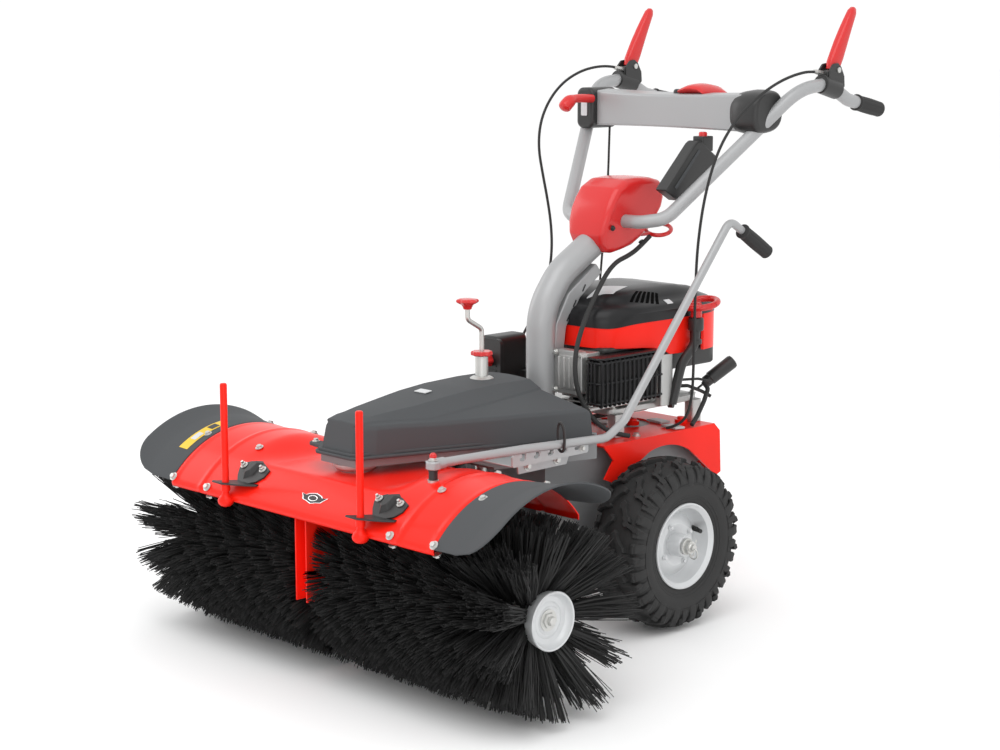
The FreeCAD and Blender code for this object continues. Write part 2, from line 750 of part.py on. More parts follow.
def engine_plan(inset):
    """The engine housing's plan: straight sides with a rounded front and rear."""
    half = D.engine_half_width - inset
    front, rear = D.engine_front_y + inset, D.engine_rear_y - inset
    points = [(-half, front + 70), (-half, rear - 80), (half, rear - 80), (half, front + 70)]
    return points, {1: (0, rear), 3: (0, front)}


def engine_shroud():
    """The painted band round the engine, open below."""
    wall = D.shell_wall
    points, arcs = engine_plan(0)
    inner_points, inner_arcs = engine_plan(wall)
    outer = prism("XY_Plane", points, (D.shroud_bottom, D.shroud_top), arcs)
    inner = prism("XY_Plane", inner_points, (D.shroud_bottom - 1, D.shroud_top - wall), inner_arcs)
    filler_gap = filler_room(D.shroud_bottom - 1, D.shroud_top + 1)
    barrel_gap = box((36, 122), (-80, 60), (D.shroud_bottom - 2, D.shroud_bottom + 30))
    front_gap = box((-D.engine_half_width - 1, D.engine_half_width + 1),
                    (D.engine_front_y - 1, D.engine_shaft_y - 13),
                    (D.shroud_bottom - 1, D.shroud_bottom + 22))
    finish_part(cut(outer, inner, filler_gap, barrel_gap, front_gap), "engine_shroud")


def filler_room(bottom, top):
    """The notch that the housing leaves for the oil filler tube."""
    return box((118, 160), (166, 206), (bottom, top))


def engine_top_cover():
    """The domed black cover over the starter, with a row of cooling slots."""
    body = new_body()
    low, top = D.shroud_top, D.engine_top
    points, arcs = engine_plan(0)
    pad(body, outline(body, "XY_Plane", points, arcs, offset=low), top - low)
    profile = [(D.engine_front_y - 20, low + 2), (D.engine_front_y - 20, top + 20),
               (50, top + 20), (50, top), (D.engine_front_y + 46, top - 18),
               (D.engine_front_y + 4, low + 2)]
    pocket(body, outline(body, "YZ_Plane", profile))
    rear_profile = [(D.engine_rear_y + 20, low + 60), (D.engine_rear_y + 20, top + 20),
                    (200, top + 20), (200, top), (D.engine_rear_y - 30, top - 22)]
    pocket(body, outline(body, "YZ_Plane", rear_profile))
    for sign in (1, -1):
        corner = [(sign * (D.engine_half_width + 20), low + 40),
                  (sign * (D.engine_half_width + 20), top + 20), (sign * 84, top + 20),
                  (sign * 84, top), (sign * (D.engine_half_width - 12), top - 24)]
        pocket(body, outline(body, "XZ_Plane", corner))
    inner_points, inner_arcs = engine_plan(14)
    hollow = prism("XY_Plane", inner_points, (low - 1, low + 40), inner_arcs)
    slots = [box((96, 150), (58 + 17 * step, 67 + 17 * step), (low + 34, low + 56))
             for step in range(5)]
    filler_gap = filler_room(low - 1, low + 60)
    ring_room = box((104, 160), (142, 244), (low + 8, low + 90))
    finish_part(cut(body, hollow, filler_gap, ring_room, *slots), "engine_top_cover")


def muffler_guard():
    """The slotted heat guard on the engine's left side."""
    shell = cut(box((134, 152), (-114, 80), (452, 564)), box((130, 148), (-110, 76), (456, 560)))
    slots = []
    for low in (462, 511):
        for step in range(12):
            start = -104 + 15.5 * step
            slots.append(box((140, 155), (start, start + 7), (low, low + 43)))
    finish_part(cut(shell, *slots), "muffler_guard")


def air_filter_box():
    """The air filter's housing on the engine's right side, with its knob's stud."""
    housing = box((-186, -134), (-124, -36), (454, 578))
    lid = box((-182, -120), (-130, -122), (458, 574))
    stud = rod("y", (-150, 528), (-138, -128), 5)
    duct = box((-150, -112), (-60, -10), (468, 500))
    finish_part(fuse(housing, lid, stud, duct), "air_filter_box")


def oil_filler_tube():
    """The black tube that the dipstick goes down."""
    path = tube_path([(110, 174, 448), (122, 179, 528), (149, 188, 562), (149, 188, 618)],
                     radii=(60, 40))
    tube = swept(path, 13, 8)
    finish_part(shape_feature(tube), "oil_filler_tube")


def dipstick():
    """A rod with a ring handle, joined by a web, which lifts out of the filler tube."""
    filler = (149, 188)
    stem = rod("z", filler, (584, 622), 3)
    plug = rod("z", filler, (618.5, 640), 12)
    ring = loop_handle(34, 6.5, (158, 194, 648), 12)
    web = box((124, 192), (184, 192), (636, 646))
    finish_part(fuse(stem, plug, ring, web), "dipstick")


def air_filter_knob():
    """The red knob on the filter lid's stud."""
    knob = rod("y", (-150, 528), (-154, -131), 14)
    bore = rod("y", (-150, 528), (-145, -130), 5 + D.running_gap)
    finish_part(cut(knob, bore), "air_filter_knob")


def recoil_handle():
    """The starter's pull grip, on a short length of rope."""
    rope_start, grip_start, grip_end = (72, 284, 440), (83, 300, 455), (119, 355, 503)
    grip = shape_feature(swept(straight(grip_start, grip_end), 15))
    rope = shape_feature(swept(straight(rope_start, grip_start), 2.5))
    finish_part(fuse(grip, rope), "recoil_handle")


def drive_pulley():
    """The engine's pulley and shaft end, under the crankcase."""
    centre = (0, D.engine_shaft_y)
    shaft = rod("z", centre, (D.deck_top - 12, D.block_bottom + 30), D.engine_shaft_radius)
    finish_part(fuse(shaft, grooved_wheel(centre, D.drive_radius)), "drive_pulley")


def grooved_wheel(centre, radius):
    """A flat-belt pulley: a drum between two thin flanges."""
    low = D.belt_z
    drum = rod("z", centre, (low - 0.5, low + D.belt_height + 0.5), radius)
    flanges = [rod("z", centre, ends, radius + 3)
               for ends in ((low - 2.5, low - 0.5),
                            (low + D.belt_height + 0.5, low + D.belt_height + 2.5))]
    return fuse(drum, *flanges)


# ---------------------------------------------------------------- brush head

def hood_section(x, inset):
    """The hood's section at one place across the machine: an arc, cut flat near the middle."""
    radius = amount(D.hood_radius) - inset
    flat = amount(D.hood_flat_z) - amount(D.brush_z) - inset
    dip = max(0.0, min(1.0, (230 - abs(x)) / 90))
    first, last = amount(D.hood_front_angle), amount(D.hood_rear_angle)
    points = []
    for step in range(17):
        angle = math.radians(first + (last - first) * step / 16)
        reach = min(radius, radius + dip * (flat / math.sin(angle) - radius))
        points.append(V(x, amount(D.brush_y) + reach * math.cos(angle),
                        amount(D.brush_z) + reach * math.sin(angle)))
    return points


def hood_band(left, right):
    """One band of the hood's sheet between two sections."""
    wires = []
    for x in (left, right):
        outer = Part.BSplineCurve()
        outer.interpolate(hood_section(x, 0))
        inner = Part.BSplineCurve()
        inner.interpolate(hood_section(x, amount(D.hood_thickness))[::-1])
        ends = [outer.StartPoint, outer.EndPoint, inner.StartPoint, inner.EndPoint]
        wires.append(Part.Wire([outer.toShape(), Part.makeLine(ends[1], ends[2]),
                                inner.toShape(), Part.makeLine(ends[3], ends[0])]))
    return Part.makeLoft(wires, True, True)


def brush_hood():
    """The painted sheet hood, with a flat top for the neck, and a folded lip along its front."""
    edge = amount(D.hood_half_width)
    stations = (-edge, -230, -140, 140, 230, edge)
    bands = [hood_band(left, right) for left, right in zip(stations, stations[1:])]
    sheet_metal = shape_feature(bands[0].fuse(bands[1:]).removeSplitter())
    lip = box((-D.hood_half_width, D.hood_half_width), (-788.5, -785.5), (322, 335))
    neck_hole = rod("z", (0, D.neck_y), (360, 420), 18)
    finish_part(cut(fuse(sheet_metal, lip), neck_hole), "brush_hood")


def side_guard():
    """One flared plastic guard: a swept sheet whose outer corners are rounded in plan."""
    body = new_body()
    inner_r, outer_r = D.hood_radius, D.guard_radius
    step_x = D.hood_half_width + 0.5
    out = D.guard_outer_x
    under = D.hood_thickness + 0.4
    profile = [(step_x - 24, inner_r - under - 3), (step_x - 24, inner_r - under),
               (step_x, inner_r - under), (step_x, inner_r), (out - 50, inner_r + 7),
               (out, outer_r), (out, outer_r - 3), (out - 50, inner_r + 4),
               (step_x + 4, inner_r - 3), (step_x + 4, inner_r - under - 3)]
    sketch = outline(body, "XY_Plane", profile)
    middle_angle = amount(D.hood_front_angle + D.guard_rear_angle) / 2
    sketch.AttachmentOffset = FreeCAD.Placement(V(0, 0, 0), FreeCAD.Rotation(X_AXIS, middle_angle))
    turn(body, sketch, angle=D.hood_front_angle - D.guard_rear_angle, midplane=True)
    place(body, 0, D.brush_y, D.brush_z)
    front, rear = -806, -443
    plan = [(step_x - 30, front - 10), (out - 60, front - 10), (out, front + 60),
            (out, rear - 70), (out - 60, rear), (step_x - 30, rear)]
    trim = prism("XY_Plane", plan, (250, 500), arcs={1: (out - 14, front + 14),
                                                     3: (out - 16, rear - 16)})
    return common(body, trim)


def side_guards():
    """The guard at each end of the hood."""
    near = side_guard()
    finish_part(group(near, mirrored(near)), "side_guards")


def front_rods():
    """Two upright rods at the hood's front edge, each with a round foot and a seat in its bracket."""
    collar_top = D.rod_collar_top
    rods = []
    for x in (D.rod_x, -D.rod_x):
        stem = rod("z", (x, D.rod_y), (D.rod_foot_z + 2, D.rod_top), D.rod_radius)
        foot = rod("z", (x, D.rod_y), (D.rod_foot_z, D.rod_foot_z + 9), 16)
        collar = rod("z", (x, D.rod_y), (collar_top - 14, collar_top), D.rod_collar_radius)
        rods.append(fuse(stem, foot, collar))
    finish_part(group(*rods), "front_rods")


def rod_bracket(rod_x):
    """One rod's bracket: a bent plate bolted to the hood, and a tongue round the rod's collar."""
    left, right = rod_x - 33, rod_x + 67
    plan = [(rod_x - 3, -808), (right - 20, -792), (right, -772), (right, -760), (left, -760),
            (left, -800)]
    tongue = prism("XY_Plane", plan, (350, 355))
    hole = rod("z", (rod_x, D.rod_y), (340, 370), amount(D.rod_collar_radius) + amount(D.running_gap))
    block = prism("YZ_Plane", [(-778, 354), (-768, 378), (-748, 390), (-732, 388), (-764, 352)],
                  (rod_x - 17, right))
    hood_room = rod("x", (D.brush_y, D.brush_z), (left - 5, right + 5), D.hood_radius + 0.2)
    return cut(fuse(tongue, block), hole, hood_room)


def rod_brackets():
    """The bracket of each rod."""
    reach = amount(D.rod_x)
    finish_part(group(rod_bracket(reach), rod_bracket(-reach)), "rod_brackets")


def hood_bolt(x, angle, reach, radius=7, height=5):
    """A domed bolt that stands on the hood at an angle round the brush axis."""
    head = rod("z", (0, 0), (0, height), radius)
    washer = rod("z", (0, 0), (-1.5, 0), radius * 1.35)
    whole = fuse(head, washer)
    turned = math.radians(angle)
    return place(whole, x, amount(D.brush_y) + reach * math.cos(turned),
                 amount(D.brush_z) + reach * math.sin(turned), X_AXIS, angle - 90)


def hood_bolts():
    """The bolts on the hood and its guards, and the pin that the angle lever turns on."""
    surface = amount(D.hood_radius) + 2.2
    bolts = []
    for sign in (1, -1):
        for x, angle in ((402, 109), (376, 140), (262, 140), (268, 110)):
            bolts.append(hood_bolt(sign * x, angle, surface + (4 if x == 402 else 0)))
    bolts += [hood_bolt(sign * x, 118, surface + 12, 6) for sign in (1, -1) for x in (205, 246)]
    pin_base = fuse(rod("z", (D.lever_pin_x, D.lever_pin_y), (408, D.lever_z - 12), 8),
                    rod("z", (D.lever_pin_x, D.lever_pin_y), (408, D.lever_z + 12), 5))
    finish_part(group(*bolts, pin_base), "hood_bolts")


def gear_post():
    """The gear case between the brush halves, and the dished neck that the head turns on."""
    half = D.post_half_width
    side = [(-772, 160), (-772, 318), (-700, 386), (-560, 386), (-560, 170), (-590, 150),
            (-640, 150), (-700, 160)]
    case = prism("YZ_Plane", side, (-half, half))
    hub = rod("x", (D.brush_y, D.brush_z), (-half, half), 44)
    neck = cone((0, D.neck_y), (D.hood_flat_z, D.arm_bottom - D.clear_gap), 22, 40)
    sleeve = rod("z", (0, D.neck_y), (384, D.arm_bottom + 3), 17)
    shaft_bore = rod("z", (0, D.neck_y), (160, D.arm_top), D.worm_radius + D.running_gap)
    wheel_room = rod("x", (D.brush_y, D.brush_z), (-7.5, 7.5), 24)
    brush_bore = rod("x", (D.brush_y, D.brush_z), (-half - 1, half + 1),
                     D.shaft_radius + D.running_gap)
    hollow_front = prism("YZ_Plane", [(-768, 172), (-768, 314), (-700, 378), (-660, 378),
                                      (-660, 172)], (-half + 3, half - 3))
    finish_part(cut(fuse(case, hub, neck, sleeve), shaft_bore, wheel_room, brush_bore,
                    hollow_front), "gear_post")


def driven_pulley():
    """The head's pulley, its upright shaft and the worm at the shaft's foot."""
    centre = (0, D.neck_y)
    shaft = rod("z", centre, (166, D.belt_z + 4), D.worm_radius)
    finish_part(fuse(shaft, grooved_wheel(centre, D.driven_radius)), "driven_pulley")


def brush_shaft():
    """The brush's shaft with its worm wheel, and the core tube of each half."""
    centre = (D.brush_y, D.brush_z)
    end = D.core_end + 6
    shaft = rod("x", centre, (-end, end), D.shaft_radius)
    worm_wheel = rod("x", centre, (-6.5, 6.5), 21.6)
    core = rod("x", centre, (D.brush_gap, D.core_end), D.core_radius)
    room = rod("x", centre, (D.brush_gap - 1, D.core_end - 6), D.core_radius - D.core_wall)
    tube = cut(core, room)
    finish_part(fuse(shaft, worm_wheel, tube, mirrored(tube)), "brush_shaft")


def brush_half(label, sign):
    """The bristles of one half as one closed solid, splayed at its outer end."""
    reach = D.brush_radius
    core = D.core_radius + 0.2
    body = turned_part([
        (D.brush_gap + 2, core), (D.brush_gap, reach - 6), (D.brush_gap + 8, reach),
        (D.core_end + 20, reach), (D.brush_half_length, reach - 18),
        (D.brush_half_length - 12, D.cap_radius + 40), (D.core_end, D.cap_radius + 6),
        (D.core_end - 6, core)])
    place(body, 0, D.brush_y, D.brush_z)
    half = group(body) if sign > 0 else mirrored(body)
    finish_part(half, label)


def brush_end_cap():
    """One dished steel cap with a recess and its centre bolt."""
    start = D.core_end + 0.5
    shaft_end = D.core_end + 6.5
    rim_x = start + 26
    floor_x = shaft_end + 6
    collar = D.shaft_radius + 0.2
    body = turned_part([
        (start, collar), (start, D.cap_radius - 8), (rim_x - 4, D.cap_radius),
        (rim_x, D.cap_radius - 4), (rim_x - 1, 36), (floor_x, 30), (floor_x, 9),
        (floor_x + 8, 9), (floor_x + 8, 0), (shaft_end, 0), (shaft_end, collar)])
    place(body, 0, D.brush_y, D.brush_z)
    return body


def brush_end_caps():
    """The cap at each end of the brush."""
    near = brush_end_cap()
    finish_part(group(near, mirrored(near)), "brush_end_caps")


# ---------------------------------------------------------------- crank and support wheel

def height_crank():
    """The crank: a screw inside the tube, a collar on its top, a bent rod and a knob."""
    x, y, top = 0, amount(D.crank_y), amount(D.crank_tube_top) + 0.5
    path = tube_path([(x, y, 440), (x, y, 629), (x, y - 39, 651), (x, y - 39, 684)],
                     radii=(12, 12))
    crank_rod = shape_feature(swept(path, D.crank_rod_radius))
    lobes = []
    for step in range(8):
        angle = step * math.pi / 4
        centre = (x + 16 * math.cos(angle), y + 16 * math.sin(angle))
        lobes.append(rod("z", centre, (top, top + 9), 6))
    collar = fuse(rod("z", (x, y), (top, top + 9), 18), *lobes)
    knob = fuse(cone((x, y - 39), (676, 686), 11, 21), rod("z", (x, y - 39), (686, 693), 21))
    finish_part(fuse(crank_rod, collar, knob), "height_crank")


def caster_post():
    """The post that the screw moves up and down inside the crank tube."""
    post = rod("z", (0, D.crank_y), (156, 486), D.post_radius)
    screw_bore = rod("z", (0, D.crank_y), (300, 490), D.post_bore)
    shoulder = rod("z", (0, D.crank_y), (172, 180), 22)
    finish_part(cut(fuse(post, shoulder), screw_bore), "caster_post")


def caster_fork():
    """The fork under the post, with the wheel's axle behind the pivot."""
    wheel_y = D.crank_y + D.support_trail
    half = D.support_half_width + 3
    plate = box((-half - 5, half + 5), (D.crank_y - 24, wheel_y + 22), (145, 151))
    hub = rod("z", (0, D.crank_y), (145, 171.5), 20)
    bore = rod("z", (0, D.crank_y), (140, 176), D.post_radius + D.running_gap)
    legs = []
    for ends in ((half, half + 5), (-half - 5, -half)):
        leg = prism("YZ_Plane", [(-325, 147), (-300, 62), (-286, 48), (-264, 48), (-252, 62),
                                 (-254, 147)], ends)
        legs.append(leg)
    pin = rod("x", (wheel_y, D.support_radius), (-half - 9, half + 9), 5)
    finish_part(fuse(cut(fuse(plate, hub), bore), *legs, pin), "caster_fork")


def caster_wheel():
    """The small support wheel under the arm."""
    half = D.support_half_width
    radius = D.support_radius
    bore = 5 + D.running_gap
    body = turned_part([(-half - 2, bore), (-half - 2, 14), (-5, 16), (-5, radius - 18),
                        (-half, radius - 14), (-half, radius - 4), (-half + 5, radius),
                        (half - 5, radius), (half, radius - 4), (half, radius - 14),
                        (5, radius - 18), (5, 16), (half + 2, 14), (half + 2, bore)])
    finish_part(body, "caster_wheel", 0, D.crank_y + D.support_trail, D.support_radius)


# ---------------------------------------------------------------- angle lever

LEVER_BEND = (250, 170, 832)
LEVER_END = (250, 236, 792)


def along(start, end, share):
    """The point a given share of the way from one point to another, or beyond it."""
    return V(*start) + (V(*end) - V(*start)) * share


def sleeve_grip(start, end, bar_end, outer, bore):
    """A closed-end grip over the end of a bar."""
    room = swept(straight(start - (bar_end - start), bar_end), bore)
    return shape_feature(swept(straight(start, end), outer).cut(room))


def angle_lever():
    """The long bent rod that steers the head, with its eye and the latch ring that hangs on it."""
    pin = (D.lever_pin_x, D.lever_pin_y)
    route = [(250, -645, 445), (250, -430, 438.5), (250, -200, 427), (250, -150, 454),
             LEVER_BEND, LEVER_END]
    path = tube_path(route, radii=(600, 60, 60, 24))
    bar = shape_feature(swept(path, D.lever_radius))
    eye = fuse(rod("z", pin, (D.lever_z - 11, D.lever_z + 9), 15),
               box((238, 262), (-667, -640), (D.lever_z - 7, D.lever_z + 7)))
    bore = rod("z", pin, (D.lever_z - 20, D.lever_z + 20), 5 + D.running_gap)
    loop = Part.Wire([
        Part.makeLine(V(240, -333, 434), V(240, -333, 464)),
        Part.Arc(V(240, -333, 464), V(250, -333, 474), V(260, -333, 464)).toShape(),
        Part.makeLine(V(260, -333, 464), V(260, -333, 428)),
        Part.Arc(V(260, -333, 428), V(256, -333, 422), V(246, -333, 421)).toShape()])
    ring = shape_feature(swept(loop, 3.5))
    finish_part(fuse(cut(fuse(bar, eye), bore), ring), "angle_lever")


def lever_grip():
    """The black grip on the lever's rear end."""
    ends = [along(LEVER_BEND, LEVER_END, share) for share in (0.6, 1.95, 1.002)]
    finish_part(sleeve_grip(*ends, 15, D.lever_radius + 0.1), "lever_grip")


# ---------------------------------------------------------------- handlebars

BAR_END = (285, 600, 1054)
GRIP_BEND = (289, 512, 1071)
BAR_BENDS = [GRIP_BEND, (290, 440, 1106), (287, 344, 1097), (140, 96, 832), (96, 66, 824)]


def bar_shape(radius):
    """The bar from grip to grip as one bent round tube."""
    half = [BAR_END] + BAR_BENDS
    route = half + [(-x, y, z) for x, y, z in reversed(half)]
    path = tube_path(route, radii=(60, 60, 110, 60, 50, 50, 60, 110, 60, 60))
    return swept(path, radius)


def handlebar_tubes():
    """One bent tube from grip to grip; its cross piece is the hinge that the bars tilt on."""
    finish_part(shape_feature(bar_shape(D.bar_radius)), "handlebar_tubes")


def bar_room():
    """The space that the bar takes up in the pieces clamped on it."""
    return shape_feature(bar_shape(D.bar_radius + 0.1))


def joint_cover():
    """The red cover round the column's top and the handlebars' cross tube."""
    half = D.joint_half_width
    side = [(-4, 796), (14, 762), (40, 756), (100, 768), (150, 805), (186, 850), (192, 885),
            (180, 905), (150, 912), (70, 910), (40, 895), (10, 850)]
    outer = prism("YZ_Plane", side, (-half, half))
    pivot = rod("x", (D.tilt_y, D.tilt_z), (-90, 90), D.bar_radius + 0.5)
    inner_side = [(12, 797), (22, 770), (42, 763), (97, 776), (144, 811), (178, 852), (184, 884),
                  (174, 898), (148, 904), (72, 902), (46, 889), (18, 847)]
    inner = prism("YZ_Plane", inner_side, (-half + 6, half - 6))
    column_top = straight((0, -75, 722), (0, 19, 775.57))
    column_room = shape_feature(swept(column_top, D.column_radius + 1))
    ring_hole = rod("y", (38, 790), (90, 200), 4.5)
    finish_part(cut(outer, inner, pivot, column_room, ring_hole), "joint_cover")


def dash_panel():
    """The panel between the bars, with a rounded cap at each end."""
    body = new_body()
    front = [(-196, 248), (196, 248), (210, 300), (-210, 300)]
    pad(body, outline(body, "XY_Plane", front, arcs={0: (0, 226)}, offset=1010), 76)
    hollow = prism("XY_Plane", [(-186, 262), (186, 262), (190, 320), (-190, 320)], (1018, 1100))
    caps = [rod("y", (x, 1049), (238, 318), 40) for x in (-212, 212)]
    finish_part(cut(fuse(cut(body, hollow), *caps), bar_room()), "dash_panel")


def handle_grips():
    """The rubber grip at each bar end."""
    ends = [along(GRIP_BEND, BAR_END, share) for share in (0.35, 1.45, 1.002)]
    near = sleeve_grip(*ends, D.grip_radius, D.bar_radius + 0.1)
    finish_part(group(near, mirrored(near)), "handle_grips")


def lever_bracket():
    """One clamp round the bar, with two cheeks that hold a lever's pin."""
    clamp = shape_feature(swept(straight((290, 420, 1107), (289.5, 466, 1094)), 20))
    cheeks = [box((x, x + 5), (440, 478), (1096, 1148)) for x in (274, 296)]
    pin = rod("x", (D.lever_pivot_y, D.lever_pivot_z), (270, 305), D.lever_pivot_radius)
    return cut(fuse(clamp, *cheeks, pin), bar_room())


def lever_brackets():
    """The clamp of each clutch lever."""
    near = lever_bracket()
    finish_part(group(near, mirrored(near)), "lever_brackets")


def clutch_lever(label, sign):
    """A tall red lever with a broad paddle and an eye round its pin."""
    side = [(450, 1127), (446, 1140), (462, 1156), (514, 1258), (528, 1268), (540, 1262),
            (534, 1240), (494, 1150), (468, 1127)]
    blade = prism("YZ_Plane", side, (280, 295))
    bore = rod("x", (D.lever_pivot_y, D.lever_pivot_z), (270, 305),
               D.lever_pivot_radius + D.running_gap)
    whole = cut(blade, bore)
    finish_part(whole if sign > 0 else mirrored(whole), label)


def starter_box():
    """The control box clamped along the left bar, with a small switch block on it."""
    side = [(92, 892), (198, 997), (265, 946), (137, 864)]
    case = prism("YZ_Plane", side, (112, 140))
    block = box((112, 140), (212, 246), (972, 998))
    button_hole = rod("z", (126, 228), (993, 999), 9.5)
    finish_part(cut(fuse(case, block), button_hole), "starter_box")


def start_button():
    """The round red button on the switch block."""
    finish_part(group(rod("z", (126, 228), (996.5, 1007), 9)), "start_button")


def gear_lever():
    """The red gear lever that points forwards from the panel's right-hand cap."""
    finish_part(fuse(rod("y", (-200, 1070), (150, 237.5), 8),
                     rod("y", (-200, 1070), (146, 186), 13)), "gear_lever")


def throttle_lever():
    """The red throttle lever over the panel's top edge."""
    side = [(252, 1087), (262, 1104), (336, 1096), (346, 1082)]
    finish_part(prism("YZ_Plane", side, (36, 92)), "throttle_lever")


def release_ring():
    """The red pull ring that frees the handlebar joint."""
    ring = loop_handle(26, 5, (38, 190, 797), 15)
    finish_part(fuse(ring, rod("y", (38, 790), (112, 166), 4)), "release_ring")


# ---------------------------------------------------------------- cables

def cables():
    """The control cables and the wiring harness, each along its own route."""
    cord("left_clutch_cable", [
        (284, 436, 1128), (284, 392, 1134), (282, 340, 1128), (276, 286, 1112), (268, 232, 1084),
        (256, 186, 1046), (242, 152, 996), (230, 134, 940), (220, 124, 880), (212, 120, 820),
        (206, 119, 760), (203, 120, 700), (201, 121, 640), (200, 122, 580), (199, 122, 520),
        (198, 121, 464), (188, 116, 416), (166, 106, 396), (146, 100, 390)], 3)
    cord("right_clutch_cable", [
        (-284, 436, 1128), (-284, 392, 1136), (-285, 340, 1136), (-286, 286, 1126),
        (-288, 232, 1102), (-288, 188, 1064), (-286, 158, 1016), (-282, 148, 960),
        (-276, 156, 902), (-268, 164, 844), (-258, 166, 786), (-246, 156, 730), (-232, 132, 680),
        (-216, 96, 636), (-204, 52, 596), (-198, 8, 552), (-196, -24, 500), (-190, -34, 450),
        (-180, -34, 410), (-162, -30, 392), (-144, -24, 388)], 3)
    cord("gear_cable", [
        (-206, 300, 1008), (-204, 296, 964), (-198, 288, 914), (-190, 276, 862), (-182, 262, 808),
        (-175, 248, 752), (-170, 236, 696), (-166, 226, 640), (-162, 220, 584), (-158, 216, 528),
        (-154, 214, 474), (-148, 212, 428), (-144, 211, 382)], 2.5)
    cord("wiring_harness", [
        (56, 142, 787), (54, 108, 763), (55, 74, 750), (57, 38, 742), (61, 5, 723),
        (69, -28, 695), (79, -59, 670), (90, -89, 645), (100, -117, 614), (108, -139, 580),
        (114, -149, 546), (119, -150, 512), (123, -139, 478), (126, -120, 449),
        (129, -98, 426), (134, -72, 408), (139, -44, 396), (144, -16, 390)], 5)


# ---------------------------------------------------------------- build and write

def build():
    """Draw every sub-part."""
    for side, sign in (("left", 1), ("right", -1)):
        tyre(side + "_tyre", sign)
        rim(side + "_rim", sign)
        axle(side + "_axle", sign)
        brush_half(side + "_brush", sign)
        clutch_lever(side + "_clutch_lever", sign)
    for draw in (chassis_frame, transmission_case, axle_bearings, rear_deck, arm_housing,
                 belt_cover, drive_belt, comb_plate, steering_column, crank_tube, chassis_bolts,
                 engine_block, engine_shroud, engine_top_cover, muffler_guard, air_filter_box,
                 oil_filler_tube, dipstick, air_filter_knob, recoil_handle, drive_pulley,
                 brush_hood, side_guards, front_rods, rod_brackets, hood_bolts, gear_post,
                 driven_pulley, brush_shaft, brush_end_caps, height_crank, caster_post,
                 caster_fork, caster_wheel, angle_lever, lever_grip, handlebar_tubes, joint_cover,
                 dash_panel, handle_grips, lever_brackets, starter_box, start_button, gear_lever,
                 throttle_lever, release_ring, cables):
        draw()


def check():
    """Stop if anything in the document failed, or a sub-part has no sound shape."""
    doc.recompute()
    failed = ["%s (%s)" % (thing.Label, thing.TypeId) for thing in doc.Objects
              if "Invalid" in thing.State or "Error" in thing.State]
    failed += [part.Label + " has no valid shape" for part in finished
               if part.Shape.isNull() or not part.Shape.isValid()]
    if failed:
        raise ValueError("failed: " + ", ".join(failed))


def write():
    """Write each sub-part to its own file."""
    os.makedirs("parts", exist_ok=True)
    for part in finished:
        part.Shape.exportStep("parts/%s.step" % part.Label)
    print("%d sub-parts written" % len(finished))


build()
check()
write()
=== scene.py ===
import bmesh
import bpy
import math
import random
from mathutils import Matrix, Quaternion, Vector


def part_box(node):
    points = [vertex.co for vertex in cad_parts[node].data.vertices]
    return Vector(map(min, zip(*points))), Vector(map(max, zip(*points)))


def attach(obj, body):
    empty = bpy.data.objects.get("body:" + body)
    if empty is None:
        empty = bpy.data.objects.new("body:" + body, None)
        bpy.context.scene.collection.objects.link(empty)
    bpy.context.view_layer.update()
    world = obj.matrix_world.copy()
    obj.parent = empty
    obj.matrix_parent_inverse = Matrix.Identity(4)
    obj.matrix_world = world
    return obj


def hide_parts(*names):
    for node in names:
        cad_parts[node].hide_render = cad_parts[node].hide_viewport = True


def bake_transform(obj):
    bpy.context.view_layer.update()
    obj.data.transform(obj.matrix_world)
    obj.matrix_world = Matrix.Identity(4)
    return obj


# Lengths below are in millimetres, measured from the wheel axle: -Y is the front, +X the machine's
# left side, and the floor is z = 0. at() turns them into metres in the row's frame.

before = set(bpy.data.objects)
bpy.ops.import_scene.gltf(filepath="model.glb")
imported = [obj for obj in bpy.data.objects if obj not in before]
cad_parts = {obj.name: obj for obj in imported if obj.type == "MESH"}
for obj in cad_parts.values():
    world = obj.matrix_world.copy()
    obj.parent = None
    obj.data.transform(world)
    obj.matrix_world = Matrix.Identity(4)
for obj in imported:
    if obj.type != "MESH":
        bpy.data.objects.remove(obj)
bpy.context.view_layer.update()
AXLE_Y = sum(corner.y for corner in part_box("left_rim")) / 2
random.seed(7)


def at(x, y, z):
    """A point in metres in the row's frame, from millimetres round the axle."""
    return Vector((x / 1000, y / 1000 + AXLE_Y, z / 1000))


# ---------------------------------------------------------------- camera, light and floor

def make_camera():
    """The photograph's viewpoint: in front of the machine and to its left, slightly above."""
    camera = bpy.data.objects.new("camera", bpy.data.cameras.new("camera"))
    bpy.context.scene.collection.objects.link(camera)
    camera.location = at(2901, -3104, 1229)
    camera.rotation_euler = (math.radians(90 - 9.77), 0, math.radians(45.46))
    camera.data.lens = 73.18
    camera.data.sensor_width = 36
    camera.data.clip_end = 60
    bpy.context.scene.camera = camera


def area_light(name, place, target, size, power, colour=(1, 1, 1)):
    """A soft rectangular light that faces a point."""
    light = bpy.data.lights.new(name, "AREA")
    light.shape = "RECTANGLE"
    light.size, light.size_y = size
    light.energy = power
    light.color = colour
    lamp = bpy.data.objects.new(name, light)
    bpy.context.scene.collection.objects.link(lamp)
    lamp.location = place
    lamp.rotation_mode = "QUATERNION"
    lamp.rotation_quaternion = (Vector(target) - Vector(place)).to_track_quat("-Z", "Y")


